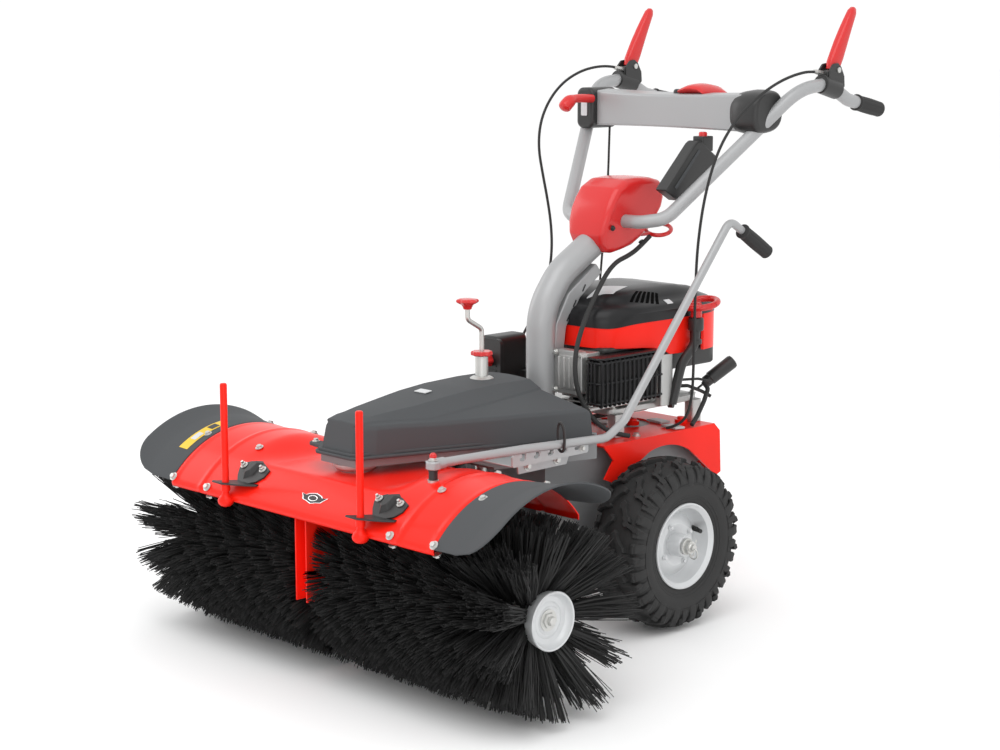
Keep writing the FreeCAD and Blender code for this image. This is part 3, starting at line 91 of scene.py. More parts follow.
def make_light():
    """A large soft box overhead, a front fill and a rim light, in a white studio."""
    area_light("key", (1.4, -1.8, 4.2), (0, 0, 0.4), (3.2, 3.2), 52)
    area_light("fill", (3.6, -3.4, 1.6), (0, 0, 0.5), (2.6, 2.0), 18)
    area_light("side", (-3.4, -1.2, 2.0), (0, 0, 0.5), (1.6, 2.4), 20)
    world = bpy.data.worlds.new("studio")
    bpy.context.scene.world = world
    world.use_nodes = True
    background = world.node_tree.nodes["Background"]
    background.inputs["Color"].default_value = (1, 1, 1, 1)
    background.inputs["Strength"].default_value = 1.06
    bpy.context.scene.view_settings.view_transform = "Standard"
    bpy.context.scene.view_settings.look = "None"


def make_floor():
    """A plain white floor, flat and wide."""
    mesh = bpy.data.meshes.new("floor")
    mesh.from_pydata([(-50, -50, 0), (50, -50, 0), (50, 50, 0), (-50, 50, 0)], [], [(0, 1, 2, 3)])
    floor = bpy.data.objects.new("floor", mesh)
    bpy.context.scene.collection.objects.link(floor)
    mesh.materials.append(material("floor_white", (0.96, 0.96, 0.96), 0.95, specular=0.2))


# ---------------------------------------------------------------- materials

def material(name, colour, roughness, metallic=0.0, coat=0.0, grain=None, mottle=0.0,
             specular=0.5):
    """A plain shader: grain is (scale, strength) of a fine bump, mottle a change of colour."""
    made = bpy.data.materials.get(name)
    if made:
        return made
    made = bpy.data.materials.new(name)
    made.use_nodes = True
    nodes, links = made.node_tree.nodes, made.node_tree.links
    shader = nodes["Principled BSDF"]
    shader.inputs["Base Color"].default_value = (*colour, 1)
    shader.inputs["Roughness"].default_value = roughness
    shader.inputs["Metallic"].default_value = metallic
    shader.inputs["Coat Weight"].default_value = coat
    shader.inputs["Coat Roughness"].default_value = 0.08
    shader.inputs["Specular IOR Level"].default_value = specular
    if grain or mottle:
        place = nodes.new("ShaderNodeTexCoord")
    if grain:
        noise = nodes.new("ShaderNodeTexNoise")
        noise.inputs["Scale"].default_value = grain[0]
        noise.inputs["Detail"].default_value = 3
        links.new(place.outputs["Object"], noise.inputs["Vector"])
        bump = nodes.new("ShaderNodeBump")
        bump.inputs["Strength"].default_value = grain[1]
        bump.inputs["Distance"].default_value = 0.001
        links.new(noise.outputs["Fac"], bump.inputs["Height"])
        links.new(bump.outputs["Normal"], shader.inputs["Normal"])
    if mottle:
        cloud = nodes.new("ShaderNodeTexNoise")
        cloud.inputs["Scale"].default_value = 9
        links.new(place.outputs["Object"], cloud.inputs["Vector"])
        ramp = nodes.new("ShaderNodeValToRGB")
        dark = [channel * (1 - mottle) for channel in colour]
        light = [min(1, channel * (1 + mottle)) for channel in colour]
        ramp.color_ramp.elements[0].position = 0.35
        ramp.color_ramp.elements[0].color = (*dark, 1)
        ramp.color_ramp.elements[1].position = 0.65
        ramp.color_ramp.elements[1].color = (*light, 1)
        links.new(cloud.outputs["Fac"], ramp.inputs["Fac"])
        links.new(ramp.outputs["Color"], shader.inputs["Base Color"])
    return made


RED = material("red_gloss", (0.90, 0.016, 0.007), 0.3, coat=0.07, mottle=0.03, specular=0.16)
RED_PLASTIC = material("red_plastic", (0.90, 0.018, 0.009), 0.36, grain=(900, 0.05), specular=0.18)
GREY = material("grey_powder_coat", (0.36, 0.365, 0.37), 0.36, metallic=0.2, grain=(1500, 0.06))
MID_GREY = material("arm_grey_paint", (0.21, 0.215, 0.22), 0.42, metallic=0.15, grain=(1500, 0.06))
LIGHT_GREY = material("light_grey_paint", (0.44, 0.445, 0.45), 0.4, metallic=0.15,
                      grain=(1500, 0.05))
DARK = material("dark_plastic", (0.016, 0.0165, 0.0175), 0.36, grain=(1400, 0.10), mottle=0.06,
                specular=0.22)
BLACK = material("black_plastic", (0.010, 0.010, 0.011), 0.36, grain=(1400, 0.08), specular=0.24)
BLACK_SATIN = material("black_satin", (0.012, 0.012, 0.013), 0.3, grain=(1400, 0.05), specular=0.28)
BLACK_METAL = material("black_metal", (0.008, 0.008, 0.009), 0.35, coat=0.12, specular=0.28)
# Near-black matte finish for the vent patches: painted shade standing in for the dark inside the
# vent openings.
VENT_SHADE = material("vent_painted_shade", (0.002, 0.002, 0.002), 0.9, specular=0.05)
RUBBER = material("black_rubber", (0.009, 0.009, 0.0095), 0.5, grain=(700, 0.2), specular=0.22)
TYRE = material("tyre_rubber", (0.009, 0.009, 0.0095), 0.55, grain=(500, 0.25), mottle=0.12,
                specular=0.26)
BRISTLE = material("bristle", (0.006, 0.006, 0.0065), 0.42, specular=0.3)
ZINC = material("zinc", (0.56, 0.56, 0.55), 0.3, metallic=0.9, grain=(1200, 0.06), mottle=0.05)
STEEL = material("bright_steel", (0.66, 0.66, 0.66), 0.22, metallic=1.0)
CAST = material("cast_aluminium", (0.50, 0.50, 0.49), 0.42, metallic=0.8, grain=(900, 0.3),
                mottle=0.08)
RIM = material("silver_rim", (0.56, 0.565, 0.57), 0.3, metallic=0.55, coat=0.1, grain=(900, 0.04))
LABEL = material("blank_label", (0.62, 0.63, 0.64), 0.35, metallic=0.2)
YELLOW = material("yellow_label", (0.80, 0.52, 0.02), 0.4)

NODE_LOOKS = {
    RED: ["rear_deck", "brush_hood", "front_rods", "gear_post", "engine_shroud"],
    RED_PLASTIC: ["joint_cover", "left_clutch_lever", "right_clutch_lever", "gear_lever",
                  "throttle_lever", "start_button", "release_ring", "dipstick", "air_filter_knob"],
    GREY: ["steering_column", "handlebar_tubes", "angle_lever", "dash_panel"],
    MID_GREY: ["chassis_frame", "arm_housing"],
    LIGHT_GREY: ["comb_plate"],
    DARK: ["belt_cover", "side_guards"],
    BLACK: ["engine_top_cover", "air_filter_box", "oil_filler_tube", "lever_brackets",
            "starter_box", "recoil_handle"],
    BLACK_METAL: ["muffler_guard", "rod_brackets"],
    RUBBER: ["drive_belt", "left_clutch_cable", "right_clutch_cable", "gear_cable",
             "wiring_harness", "lever_grip", "handle_grips", "caster_wheel"],
    TYRE: ["left_tyre", "right_tyre"],
    BRISTLE: ["left_brush", "right_brush"],
    ZINC: ["axle_bearings", "crank_tube", "chassis_bolts", "left_axle", "right_axle", "hood_bolts",
           "brush_shaft", "driven_pulley", "drive_pulley", "height_crank", "caster_post",
           "caster_fork"],
    CAST: ["transmission_case", "engine_block"],
    RIM: ["left_rim", "right_rim", "brush_end_caps"],
}


def paint_nodes():
    """Give every node that stays in view its own finish."""
    for look, nodes in NODE_LOOKS.items():
        for node in nodes:
            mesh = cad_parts[node].data
            mesh.materials.clear()
            mesh.materials.append(look)


# ---------------------------------------------------------------- mesh helpers

def add_piece(name, verts, faces, look, body, crease=32, replaces=()):
    """A mesh piece in metres that rides on a body, smooth except at creases sharper than given."""
    mesh = bpy.data.meshes.new(name)
    mesh.from_pydata([tuple(v) for v in verts], [], faces)
    shape = bmesh.new()
    shape.from_mesh(mesh)
    bmesh.ops.recalc_face_normals(shape, faces=shape.faces)
    shape.to_mesh(mesh)
    shape.free()
    mesh.materials.append(look)
    mesh.shade_smooth()
    mesh.set_sharp_from_angle(angle=math.radians(crease))
    piece = bpy.data.objects.new(name, mesh)
    bpy.context.scene.collection.objects.link(piece)
    if body:
        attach(piece, body)
    if replaces:
        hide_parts(*replaces)
    return piece


def show(name, parts, look, body, crease=32, replaces=(), rounded=None):
    """Add a piece from its (verts, faces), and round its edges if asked."""
    piece = add_piece(name, *parts, look, body, crease, replaces)
    if rounded:
        bevel(piece, *rounded)


def bevel(piece, width, segments=3, limit=35):
    """Round the edges of a piece by a width in millimetres."""
    edge = piece.modifiers.new("bevel", "BEVEL")
    edge.width = width / 1000
    edge.segments = segments
    edge.limit_method = "ANGLE"
    edge.angle_limit = math.radians(limit)
    edge.harden_normals = False


def turns(count):
    """Evenly spaced angles round a circle."""
    return [2 * math.pi * step / count for step in range(count)]


def squared(value, power):
    """A sine or cosine pushed outwards, so that a circle drawn with it becomes squarer."""
    return math.copysign(abs(value) ** power, value)


def skin(rows, count, closed=True, cap=True):
    """Faces over rows of points, each with the same count, and over the first and last row."""
    faces = []
    for row in range(rows - 1):
        for step in range(count if closed else count - 1):
            after = (step + 1) % count
            faces.append((row * count + step, row * count + after,
                          (row + 1) * count + after, (row + 1) * count + step))
    if cap:
        faces.append(tuple(range(count))[::-1])
        faces.append(tuple((rows - 1) * count + step for step in range(count)))
    return faces


def prism_faces(count):
    """The two ends and the sides of a prism: first one end's points, then the other's."""
    ends = [tuple(range(count)), tuple(range(2 * count - 1, count - 1, -1))]
    return ends + [(i, (i + 1) % count, (i + 1) % count + count, i + count) for i in range(count)]


def merge_parts(parts):
    """Several (verts, faces) lists as one."""
    verts, faces = [], []
    for part_verts, part_faces in parts:
        base = len(verts)
        verts += part_verts
        faces += [tuple(base + index for index in face) for face in part_faces]
    return verts, faces


def lathe(axis, centre, profile, steps=64, closed=False):
    """Turn a profile of (along, radius) about 'x', 'y' or 'z' through the other two coordinates."""
    verts, faces = [], []
    count = len(profile)
    for angle in turns(steps):
        for run, radius in profile:
            first, second = radius * math.cos(angle), radius * math.sin(angle)
            if axis == "x":
                verts.append(at(run, centre[0] + first, centre[1] + second))
            elif axis == "y":
                verts.append(at(centre[0] + first, run, centre[1] + second))
            else:
                verts.append(at(centre[0] + first, centre[1] + second, run))
    last = count if closed else count - 1
    for step in range(steps):
        here, there = step * count, (step + 1) % steps * count
        for index in range(last):
            after = (index + 1) % count
            faces.append((here + index, there + index, there + after, here + after))
    return verts, faces


def slab(outline, ends, plane):
    """A flat outline pulled between two ends: plane 'xy', 'yz' or 'xz'; a real prism."""
    def point(a, b, c):
        return {"xy": at(a, b, c), "yz": at(c, a, b), "xz": at(a, c, b)}[plane]
    verts = [point(a, b, end) for end in ends for a, b in outline]
    return verts, prism_faces(len(outline))


def loft(rings, cap=True, closed=True):
    """A skin over rings of points in millimetres, each with the same count."""
    verts = [at(*point) for ring in rings for point in ring]
    return verts, skin(len(rings), len(rings[0]), closed, cap)


def smooth_line(points, per_span=12):
    """Points along a rounded line through the corners, close together."""
    line = bpy.data.curves.new("line", "CURVE")
    line.dimensions = "3D"
    spline = line.splines.new("NURBS")
    spline.points.add(len(points) - 1)
    for knot, place in zip(spline.points, points):
        knot.co = (*at(*place), 1)
    spline.order_u = 3
    spline.use_endpoint_u = True
    spline.resolution_u = per_span
    holder = bpy.data.objects.new("line", line)
    bpy.context.scene.collection.objects.link(holder)
    drawn = bpy.data.meshes.new_from_object(holder)
    route = [vertex.co.copy() for vertex in drawn.vertices]
    bpy.data.objects.remove(holder)
    bpy.data.curves.remove(line)
    bpy.data.meshes.remove(drawn)
    return route


def tube(route, radius, sides=16, ends=True):
    """A round tube along a route in metres; radius in millimetres, or one for each point."""
    radii = radius if isinstance(radius, list) else [radius] * len(route)
    verts, tangents = [], []
    for index in range(len(route)):
        before, after = route[max(index - 1, 0)], route[min(index + 1, len(route) - 1)]
        tangents.append((after - before).normalized())
    side = tangents[0].orthogonal().normalized()
    for index, (place, tangent) in enumerate(zip(route, tangents)):
        if index:
            side = tangents[index - 1].rotation_difference(tangent) @ side
        side = (side - tangent * side.dot(tangent)).normalized()
        other = tangent.cross(side)
        for angle in turns(sides):
            verts.append(place + (side * math.cos(angle) + other * math.sin(angle))
                         * (radii[index] / 1000))
    return verts, skin(len(route), sides, cap=ends)


def straight(*points):
    """A route of straight runs, in metres."""
    return [at(*point) for point in points]


def fillet(points, radius, steps=7):
    """A route in metres with each inner corner rounded by a radius in millimetres."""
    corners = [Vector(point) for point in points]
    route = [corners[0]]
    for index in range(1, len(corners) - 1):
        corner = corners[index]
        back, on = corners[index - 1] - corner, corners[index + 1] - corner
        turn = math.pi - back.angle(on)
        size = radius[index - 1] if isinstance(radius, (list, tuple)) else radius
        trim = min(size * math.tan(turn / 2), 0.48 * back.length, 0.48 * on.length)
        start, end = corner + back.normalized() * trim, corner + on.normalized() * trim
        for step in range(steps + 1):
            share = step / steps
            route.append(start.lerp(corner, share).lerp(corner.lerp(end, share), share))
    route.append(corners[-1])
    return [at(*point) for point in route]


def turned_to(verts, centre, direction):
    """Move points drawn round the origin in metres so that +Z faces a direction, at a centre."""
    turn = Vector(direction).to_track_quat("Z", "Y")
    return [centre + turn @ vertex for vertex in verts]


def bolt_parts(centre, direction, radius, height, spin=0.3):
    """A hexagon bolt head on a washer at a point in millimetres, facing a direction."""
    discs = [disc_rings(radius * 1.5, 0, 1.6, 24), disc_rings(radius * 1.12, 1.6, 2.6, 24),
             disc_rings(radius, 2.4, 2.4 + height, 6, spin, radius * 0.18)]
    return merge_parts([(turned_to(verts, at(*centre), direction), faces)
                        for verts, faces in discs])


def disc_rings(radius, low, high, sides, spin=0.0, chamfer=0.3):
    """A short upright prism with a chamfered top, round the origin, in metres."""
    rings = [(radius, low), (radius, high - chamfer), (radius - chamfer, high)]
    verts = []
    for size, level in rings:
        for turn in turns(sides):
            angle = spin + turn
            verts.append(Vector((size * math.cos(angle), size * math.sin(angle), level)) / 1000)
    return verts, skin(len(rings), sides)


# ---------------------------------------------------------------- brush

BRUSH_Y, BRUSH_Z = -606, 190
BRUSH_R, CORE_R = 188, 37
FIRST_RING_X, RINGS_SPAN = 30, 436
BRISTLE_RINGS = 30
TUFTS_ROUND = 40
BRISTLES_IN_TUFT = 12
RIDGE_PITCH, RIDGE_TURNS = 74, 13
BUNDLES_ROUND = 11


def bristle_parts(root, tip, bow, width, spin):
    """One thin three-sided bristle, bent a little at its middle; points in millimetres."""
    middle = (root + tip) / 2 + bow
    verts = []
    axis = (tip - root).normalized()
    side = Quaternion(axis, spin) @ axis.orthogonal().normalized()
    other = axis.cross(side)
    for place, size in ((root, width), (middle, width * 0.9), (tip, width * 0.6)):
        for angle in turns(3):
            offset = (side * math.cos(angle) + other * math.sin(angle)) * size
            verts.append(at(*(place + offset)))
    return verts, skin(3, 3, cap=False) + [(6, 7, 8)]


def tuft(x, lean, angle, tip_angle, reach, spread, clump):
    """The bristles of one tuft on the core, whose tips lean sideways and bunch round a line."""
    parts = []
    for _ in range(BRISTLES_IN_TUFT):
        root_angle = angle + random.uniform(-0.03, 0.03)
        end_angle = tip_angle + random.gauss(0, spread)
        length = reach - abs(random.gauss(0, 5))
        root = Vector((x + random.uniform(-4, 4), BRUSH_Y + CORE_R * math.cos(root_angle),
                       BRUSH_Z + CORE_R * math.sin(root_angle)))
        tip = Vector((x + lean + random.gauss(0, clump), BRUSH_Y + length * math.cos(end_angle),
                      BRUSH_Z + length * math.sin(end_angle)))
        bow = Vector((random.gauss(0, 3), random.gauss(0, 3), random.gauss(0, 3)))
        parts.append(bristle_parts(root, tip, bow, random.uniform(1.15, 1.8), random.random() * 6))
    return parts


def brush_half(name, sign, node):
    """One half's tufts: their tips bunch into helical ridges, and the outer ones into fans."""
    half_parts = {"inner": [], "outer": []}
    bundle_lean = [random.uniform(0.72, 1.12) for _ in range(BUNDLES_ROUND)]
    for ring in range(BRISTLE_RINGS):
        share = ring / (BRISTLE_RINGS - 1)
        x = sign * (FIRST_RING_X + share * RINGS_SPAN)
        splay = max(0.0, share - 0.72) / 0.28
        for step in range(TUFTS_ROUND):
            angle = 2 * math.pi * (step + 0.5 * (ring % 2)) / TUFTS_ROUND
            phase = 2 * math.pi * x / RIDGE_PITCH - RIDGE_TURNS * angle
            bundle = round(angle * BUNDLES_ROUND / (2 * math.pi)) % BUNDLES_ROUND
            offset = math.remainder(angle - bundle * 2 * math.pi / BUNDLES_ROUND, 2 * math.pi)
            lean = -11 * (1 - splay) * math.sin(phase) + random.gauss(0, 3.5)
            lean += sign * splay ** 1.5 * 86 * bundle_lean[bundle]
            lean -= sign * 9 * max(0.0, 1 - share / 0.06)
            reach = BRUSH_R - 5 * (1 - math.cos(phase)) * (1 - splay) - 14 * splay ** 3
            tip_angle = angle - offset * 0.62 * splay + random.gauss(0, 0.012)
            half_parts["outer" if share > 0.5 else "inner"] += tuft(
                x, lean, angle, tip_angle, reach, 0.030, 5.5 + 3 * splay)
    limit, inner = at(558, 0, 0).x, at(22.5, 0, 0).x
    for where, parts in half_parts.items():
        verts, faces = merge_parts(parts)
        verts = [Vector((sign * max(inner, min(limit, sign * v.x)), v.y, max(0.0015, v.z)))
                 for v in verts]
        show("%s_%s_bristles" % (name, where), (verts, faces), BRISTLE, "brush", 60, [node])


def brush():
    """Both brush halves."""
    brush_half("left", 1, "left_brush")
    brush_half("right", -1, "right_brush")


# ---------------------------------------------------------------- wheels

WHEEL_X, WHEEL_Z, TYRE_HALF = 233, 178, 63
WHEEL_AXIS = (0, WHEEL_Z)
TREAD_R = 167


def carcass_radius(across):
    """The tread's radius at a distance from the tyre's middle."""
    share = min(1.0, abs(across) / TYRE_HALF)
    return TREAD_R - 13 * share ** 2.4


def tyre_lug(outline, spin, height, sink=5):
    """One tread block: an outline of (round, across) in millimetres, raised from the tread."""
    rings = []
    centre = [sum(p[0] for p in outline) / len(outline), sum(p[1] for p in outline) / len(outline)]
    for level, grow in ((-sink, 1.04), (height - 1.6, 0.96), (height, 0.84)):
        ring = []
        for along, across in outline:
            a = centre[0] + (along - centre[0]) * grow
            b = centre[1] + (across - centre[1]) * grow
            radius = carcass_radius(b) + level
            angle = spin + a / TREAD_R
            ring.append((b, radius * math.cos(angle), radius * math.sin(angle)))
        rings.append(ring)
    return rings


BONE = [(-24, 5), (-22, -5), (-14, -7.5), (-8, -4), (8, -4), (14, -7.5), (22, -5), (24, 5),
        (16, 8), (9, 4.5), (-9, 4.5), (-16, 8)]


def turned_outline(outline, turn, along, across, scale=1.0):
    """A block outline turned and moved on the tread."""
    c, s = math.cos(turn) * scale, math.sin(turn) * scale
    return [(along + a * c - b * s, across + a * s + b * c) for a, b in outline]


def tyre(side, sign):
    """A chunky tyre: a round carcass, bone-shaped tread blocks and shoulder blocks."""
    profile = [(-45, 79), (-48, 84), (-52, 88), (-54, 94), (-61, 112), (-62.5, 124), (-61, 138),
               (-57, 150), (-50, 158), (-36, 163.5), (-18, 166.5), (0, 167), (18, 166.5),
               (36, 163.5), (50, 158), (57, 150), (61, 138), (62.5, 124), (61, 112), (54, 94),
               (52, 88), (48, 84), (45, 79), (40, 79), (-40, 79)]
    body = lathe("x", WHEEL_AXIS, [(sign * WHEEL_X + run, r) for run, r in profile], 96, True)
    parts = [body]
    count = 17
    pitch = 2 * math.pi / count
    blocks = []
    for index in range(count):
        spin = index * pitch
        for hand in (1, -1):
            shift = spin if hand > 0 else spin + pitch / 2
            blocks.append((turned_outline(BONE, hand * 0.62, 0, hand * 19, 1.08), shift, 9.5))
            blocks.append((turned_outline(BONE, hand * 1.25, 27, hand * 42, 0.92), shift, 9.0))
            blocks.append((turned_outline(BONE, 0.0, 8, hand * 53, 0.42), shift, 8.0))
    for outline, spin, height in blocks:
        rings = tyre_lug(outline, spin, height)
        placed = [[(sign * WHEEL_X + x, y, WHEEL_Z + z) for x, y, z in ring] for ring in rings]
        parts.append(loft(placed))
    for index in range(count * 2):
        for hand in (1, -1):
            parts.append(shoulder_block(sign, hand, (index + 0.25 * hand) * pitch / 2, index % 2))
    for radius in (100, 106, 131):
        for hand in (1, -1):
            parts.append(side_ring(sign, hand, radius))
    show(side + "_tyre_tread", merge_parts(parts), TYRE, side + "_wheel", 28, [side + "_tyre"])


def shoulder_block(sign, hand, angle, short):
    """A block that wraps from the tread's edge down the side wall."""
    inner = 132 if short else 124
    section = [(61.8, inner), (63.0, inner + 4), (63.0, 148), (58, 160), (50, 166), (46, 162),
               (55, 150), (58, inner)]
    rings = []
    half = 0.052 if short else 0.066
    for turn in (-half, -half * 0.8, half * 0.8, half):
        squeeze = 1.0 if abs(turn) < half else 0.985
        ring = []
        for run, radius in section:
            reach = radius * squeeze
            ring.append((sign * WHEEL_X + hand * min(run, 62.9) * squeeze,
                         reach * math.cos(angle + turn), WHEEL_Z + reach * math.sin(angle + turn)))
        rings.append(ring)
    return loft(rings)


def side_ring(sign, hand, radius):
    """A thin raised line round the side wall."""
    centre = {100: 56.2, 106: 58.4, 131: 62.4}[radius]
    profile = [(sign * WHEEL_X + hand * (centre + 0.9 * math.cos(t)), radius + 1.1 * math.sin(t))
               for t in turns(8)]
    return lathe("x", WHEEL_AXIS, profile, 96, True)


def rim_details(side, sign):
    """The dished rim with its rolled edge, hub tube, clip and valve stem."""
    x = sign * WHEEL_X
    profile = [(-56, 88), (-54, 90), (-52, 88), (-50, 80), (-38, 79), (-22, 74), (-14, 68),
               (14, 68), (24, 75), (40, 79), (48, 80), (51, 86), (53, 89.5), (56, 89), (56.8, 86),
               (54, 83), (50, 78), (40, 75), (26, 71.5), (20, 67), (23, 61), (30, 53), (33, 44),
               (31, 36), (27, 30), (26, 24), (52, 23), (55, 21.5), (55, 14), (50, 12.5), (50, 10.2),
               (-52, 10.2), (-52, 24), (20, 24), (22, 36), (26, 44), (24, 52), (17, 60), (10, 64),
               (-14, 64), (-24, 70), (-38, 75), (-50, 77), (-54, 82)]
    rim = lathe("x", WHEEL_AXIS, [(x + sign * run, r) for run, r in profile], 96, True)
    parts = [rim]
    for index in range(4):
        angle = math.pi / 2 * index + 0.5
        place = (x + sign * 32.5, 44 * math.cos(angle), WHEEL_Z + 44 * math.sin(angle))
        parts.append(bolt_parts(place, (sign, 0, 0), 4.5, 3))
    show(side + "_rim_pressed", merge_parts(parts), RIM, side + "_wheel", 30, [side + "_rim"])
    valve_route = fillet([(x + sign * 20, 62, WHEEL_Z + 22), (x + sign * 34, 60, WHEEL_Z + 21),
                          (x + sign * 48, 56, WHEEL_Z + 20)], 8)
    valve = tube(valve_route, [5.2, 5.2, 5, 4.6, 4.2, 4, 4, 4, 4.4, 4.4], 14)
    show(side + "_valve", valve, RUBBER, side + "_wheel")


def axle_end(side, sign):
    """The shaft's turned end with its cross pin and spring clip."""
    x = sign * WHEEL_X
    profile = [(49, 0), (49, 11), (56, 11), (57, 17), (61, 17), (62, 15.5), (62, 10), (72, 9.6),
               (74, 8), (74, 0)]
    end = lathe("x", WHEEL_AXIS, [(x + sign * run, r) for run, r in profile], 40)
    clip_route = smooth_line([(x + sign * 67, 0, WHEEL_Z + 16), (x + sign * 67, 0, WHEEL_Z - 14),
                              (x + sign * 69, 2, WHEEL_Z - 20), (x + sign * 70, 9, WHEEL_Z - 19),
                              (x + sign * 70, 10, WHEEL_Z - 8), (x + sign * 70, 12, WHEEL_Z + 4),
                              (x + sign * 71, 15, WHEEL_Z + 14)], 6)
    show(side + "_axle_end", merge_parts([end, tube(clip_route, 1.4, 8)]), ZINC, side + "_wheel",
         30)


def wheels():
    """Both drive wheels."""
    for side, sign in (("left", 1), ("right", -1)):
        tyre(side, sign)
        rim_details(side, sign)
        axle_end(side, sign)


# ---------------------------------------------------------------- cables

CABLE_ROUTES = {
    "left_clutch_cable": (3, [
        (284, 436, 1128), (284, 392, 1134), (282, 340, 1128), (276, 286, 1112), (268, 232, 1084),
        (256, 186, 1046), (242, 152, 996), (230, 134, 940), (220, 124, 880), (212, 120, 820),
        (206, 119, 760), (203, 120, 700), (201, 121, 640), (200, 122, 580), (199, 122, 520),
        (198, 121, 464), (188, 116, 416), (166, 106, 396), (146, 100, 390)]),
    "right_clutch_cable": (3, [
        (-284, 436, 1128), (-284, 392, 1136), (-285, 340, 1136), (-286, 286, 1126),
        (-288, 232, 1102), (-288, 188, 1064), (-286, 158, 1016), (-282, 148, 960),
        (-276, 156, 902), (-268, 164, 844), (-258, 166, 786), (-246, 156, 730), (-232, 132, 680),
        (-216, 96, 636), (-204, 52, 596), (-198, 8, 552), (-196, -24, 500), (-190, -34, 450),
        (-180, -34, 410), (-162, -30, 392), (-144, -24, 388)]),
    "gear_cable": (2.5, [
        (-206, 300, 1008), (-204, 296, 964), (-198, 288, 914), (-190, 276, 862), (-182, 262, 808),
        (-175, 248, 752), (-170, 236, 696), (-166, 226, 640), (-162, 220, 584), (-158, 216, 528),
        (-154, 214, 474), (-148, 212, 428), (-144, 211, 382)]),
    "wiring_harness": (5, [
        (56, 142, 787), (54, 108, 763), (55, 74, 750), (57, 38, 742), (61, 5, 723),
        (69, -28, 695), (79, -59, 670), (90, -89, 645), (100, -117, 614), (108, -139, 580),
        (114, -149, 546), (119, -150, 512), (123, -139, 478), (126, -120, 449),
        (129, -98, 426), (134, -72, 408), (139, -44, 396), (144, -16, 390)]),
}


def cables():
    """The control cables, which ride on no body, and the harness, which rides on the root body."""
    for name, (radius, points) in CABLE_ROUTES.items():
        route = smooth_line(points, 8)
        verts, faces = tube(route, radius, 12)
        crosses = name != "wiring_harness"
        piece = add_piece(name + "_run", verts, faces, RUBBER, None if crosses else "root", 40,
                          [name])
        if crosses:
            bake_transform(piece)


# ---------------------------------------------------------------- hood and guards

# The hood's sheet runs round the brush from HOOD_REAR to HOOD_FRONT, in degrees, and is pressed
# down to HOOD_FLAT above the axis in the middle. The pairs below are the (x, y) of upright axes.
HOOD_R, HOOD_FRONT, HOOD_REAR = 233, 142, 38
HOOD_FLAT = 201
GUARD_REAR = 50
ROD_X, ROD_Y = 199, -796
PIN = (252, -667)
NECK = (0, -636)
CRANK = (0, -301)
COLUMN = (0, -131)
FILLER = (149, 188)


def ease(value):
    """A smooth step from 0 to 1."""
    value = max(0.0, min(1.0, value))
    return value * value * (3 - 2 * value)


def hood_reach(x, angle):
    """The hood's distance from the brush axis at one place across and round it."""
    dip = ease((236 - abs(x)) / 92)
    reach = min(HOOD_R, HOOD_R + dip * (HOOD_FLAT / max(math.sin(angle), 0.2) - HOOD_R))
    bead = 2.4 * math.exp(-((abs(x) - 292) / 5) ** 2) + 1.6 * math.exp(-((abs(x) - 378) / 5) ** 2)
    return reach + bead


def thicken_inwards(piece, thickness):
    """Give a sheet round the brush axis its thickness in millimetres, on the brush's side."""
    face = piece.data.polygons[len(piece.data.polygons) // 2]
    axis = at(0, BRUSH_Y, BRUSH_Z)
    axis.x = face.center.x
    sheet = piece.modifiers.new("thickness", "SOLIDIFY")
    sheet.thickness = thickness / 1000
    sheet.offset = -1 if face.normal.dot(face.center - axis) > 0 else 1


def brush_hood():
    """The red sheet hood, with pressed beads and a folded front lip."""
    stations = [-385 + 770 * step / 154 for step in range(155)]
    rounds = 64
    verts = []
    for x in stations:
        section = []
        for step in range(rounds + 1):
            angle = math.radians(HOOD_FRONT + (HOOD_REAR - HOOD_FRONT) * step / rounds)
            reach = hood_reach(x, angle)
            section.append((x, BRUSH_Y + reach * math.cos(angle),
                            BRUSH_Z + reach * math.sin(angle)))
        front_y, front_z = section[0][1], section[0][2]
        rear_y, rear_z = section[-1][1], section[-1][2]
        section = [(x, front_y + 0.6, front_z - 11), (x, front_y - 0.6, front_z - 5)] + section
        section += [(x, rear_y + 0.4, rear_z - 5), (x, rear_y, rear_z - 10)]
        verts += [at(*point) for point in section]
    faces = skin(len(stations), len(verts) // len(stations), closed=False, cap=False)
    hood = add_piece("hood_sheet", verts, faces, RED, "brush_head", 40, ["brush_hood"])
    thicken_inwards(hood, 2.5)


def guard_point(sign, share, angle, lift=0.0):
    """A place on a guard: share runs outwards from the hood to its rim."""
    across = 386 + 134 * share
    flare = 7 * min(1, share / 0.65) + 12.5 * max(0.0, (share - 0.6) / 0.4) ** 1.3
    reach = HOOD_R + 1.0 + flare + lift
    return (sign * across, BRUSH_Y + reach * math.cos(angle), BRUSH_Z + reach * math.sin(angle))


def guard_share(turned):
    """How far out the guard reaches at a place round it; its outer corners are rounded."""
    front = (turned - math.radians(GUARD_REAR)) / math.radians(15)
    rear = (math.radians(HOOD_FRONT) - turned) / math.radians(17)
    near = max(0.0, min(1.0, front, rear))
    return 0.42 + 0.58 * math.sqrt(max(0.0, 1 - (1 - near) ** 2))


def side_guard(side, sign):
    """One dark plastic guard with a rolled edge."""
    rows, columns = 56, 18
    verts = []
    for row in range(rows + 1):
        angle = math.radians(HOOD_FRONT + (GUARD_REAR - HOOD_FRONT) * row / rows)
        out = guard_share(angle)
        for column in range(columns + 1):
            share = column / columns * out
            verts.append(at(*guard_point(sign, share, angle)))
    faces = skin(rows + 1, columns + 1, closed=False, cap=False)
    guard = add_piece(side + "_guard", verts, faces, DARK, "brush_head", 50, ["side_guards"])
    thicken_inwards(guard, 3.2)
    bevel(guard, 1.0, 2)


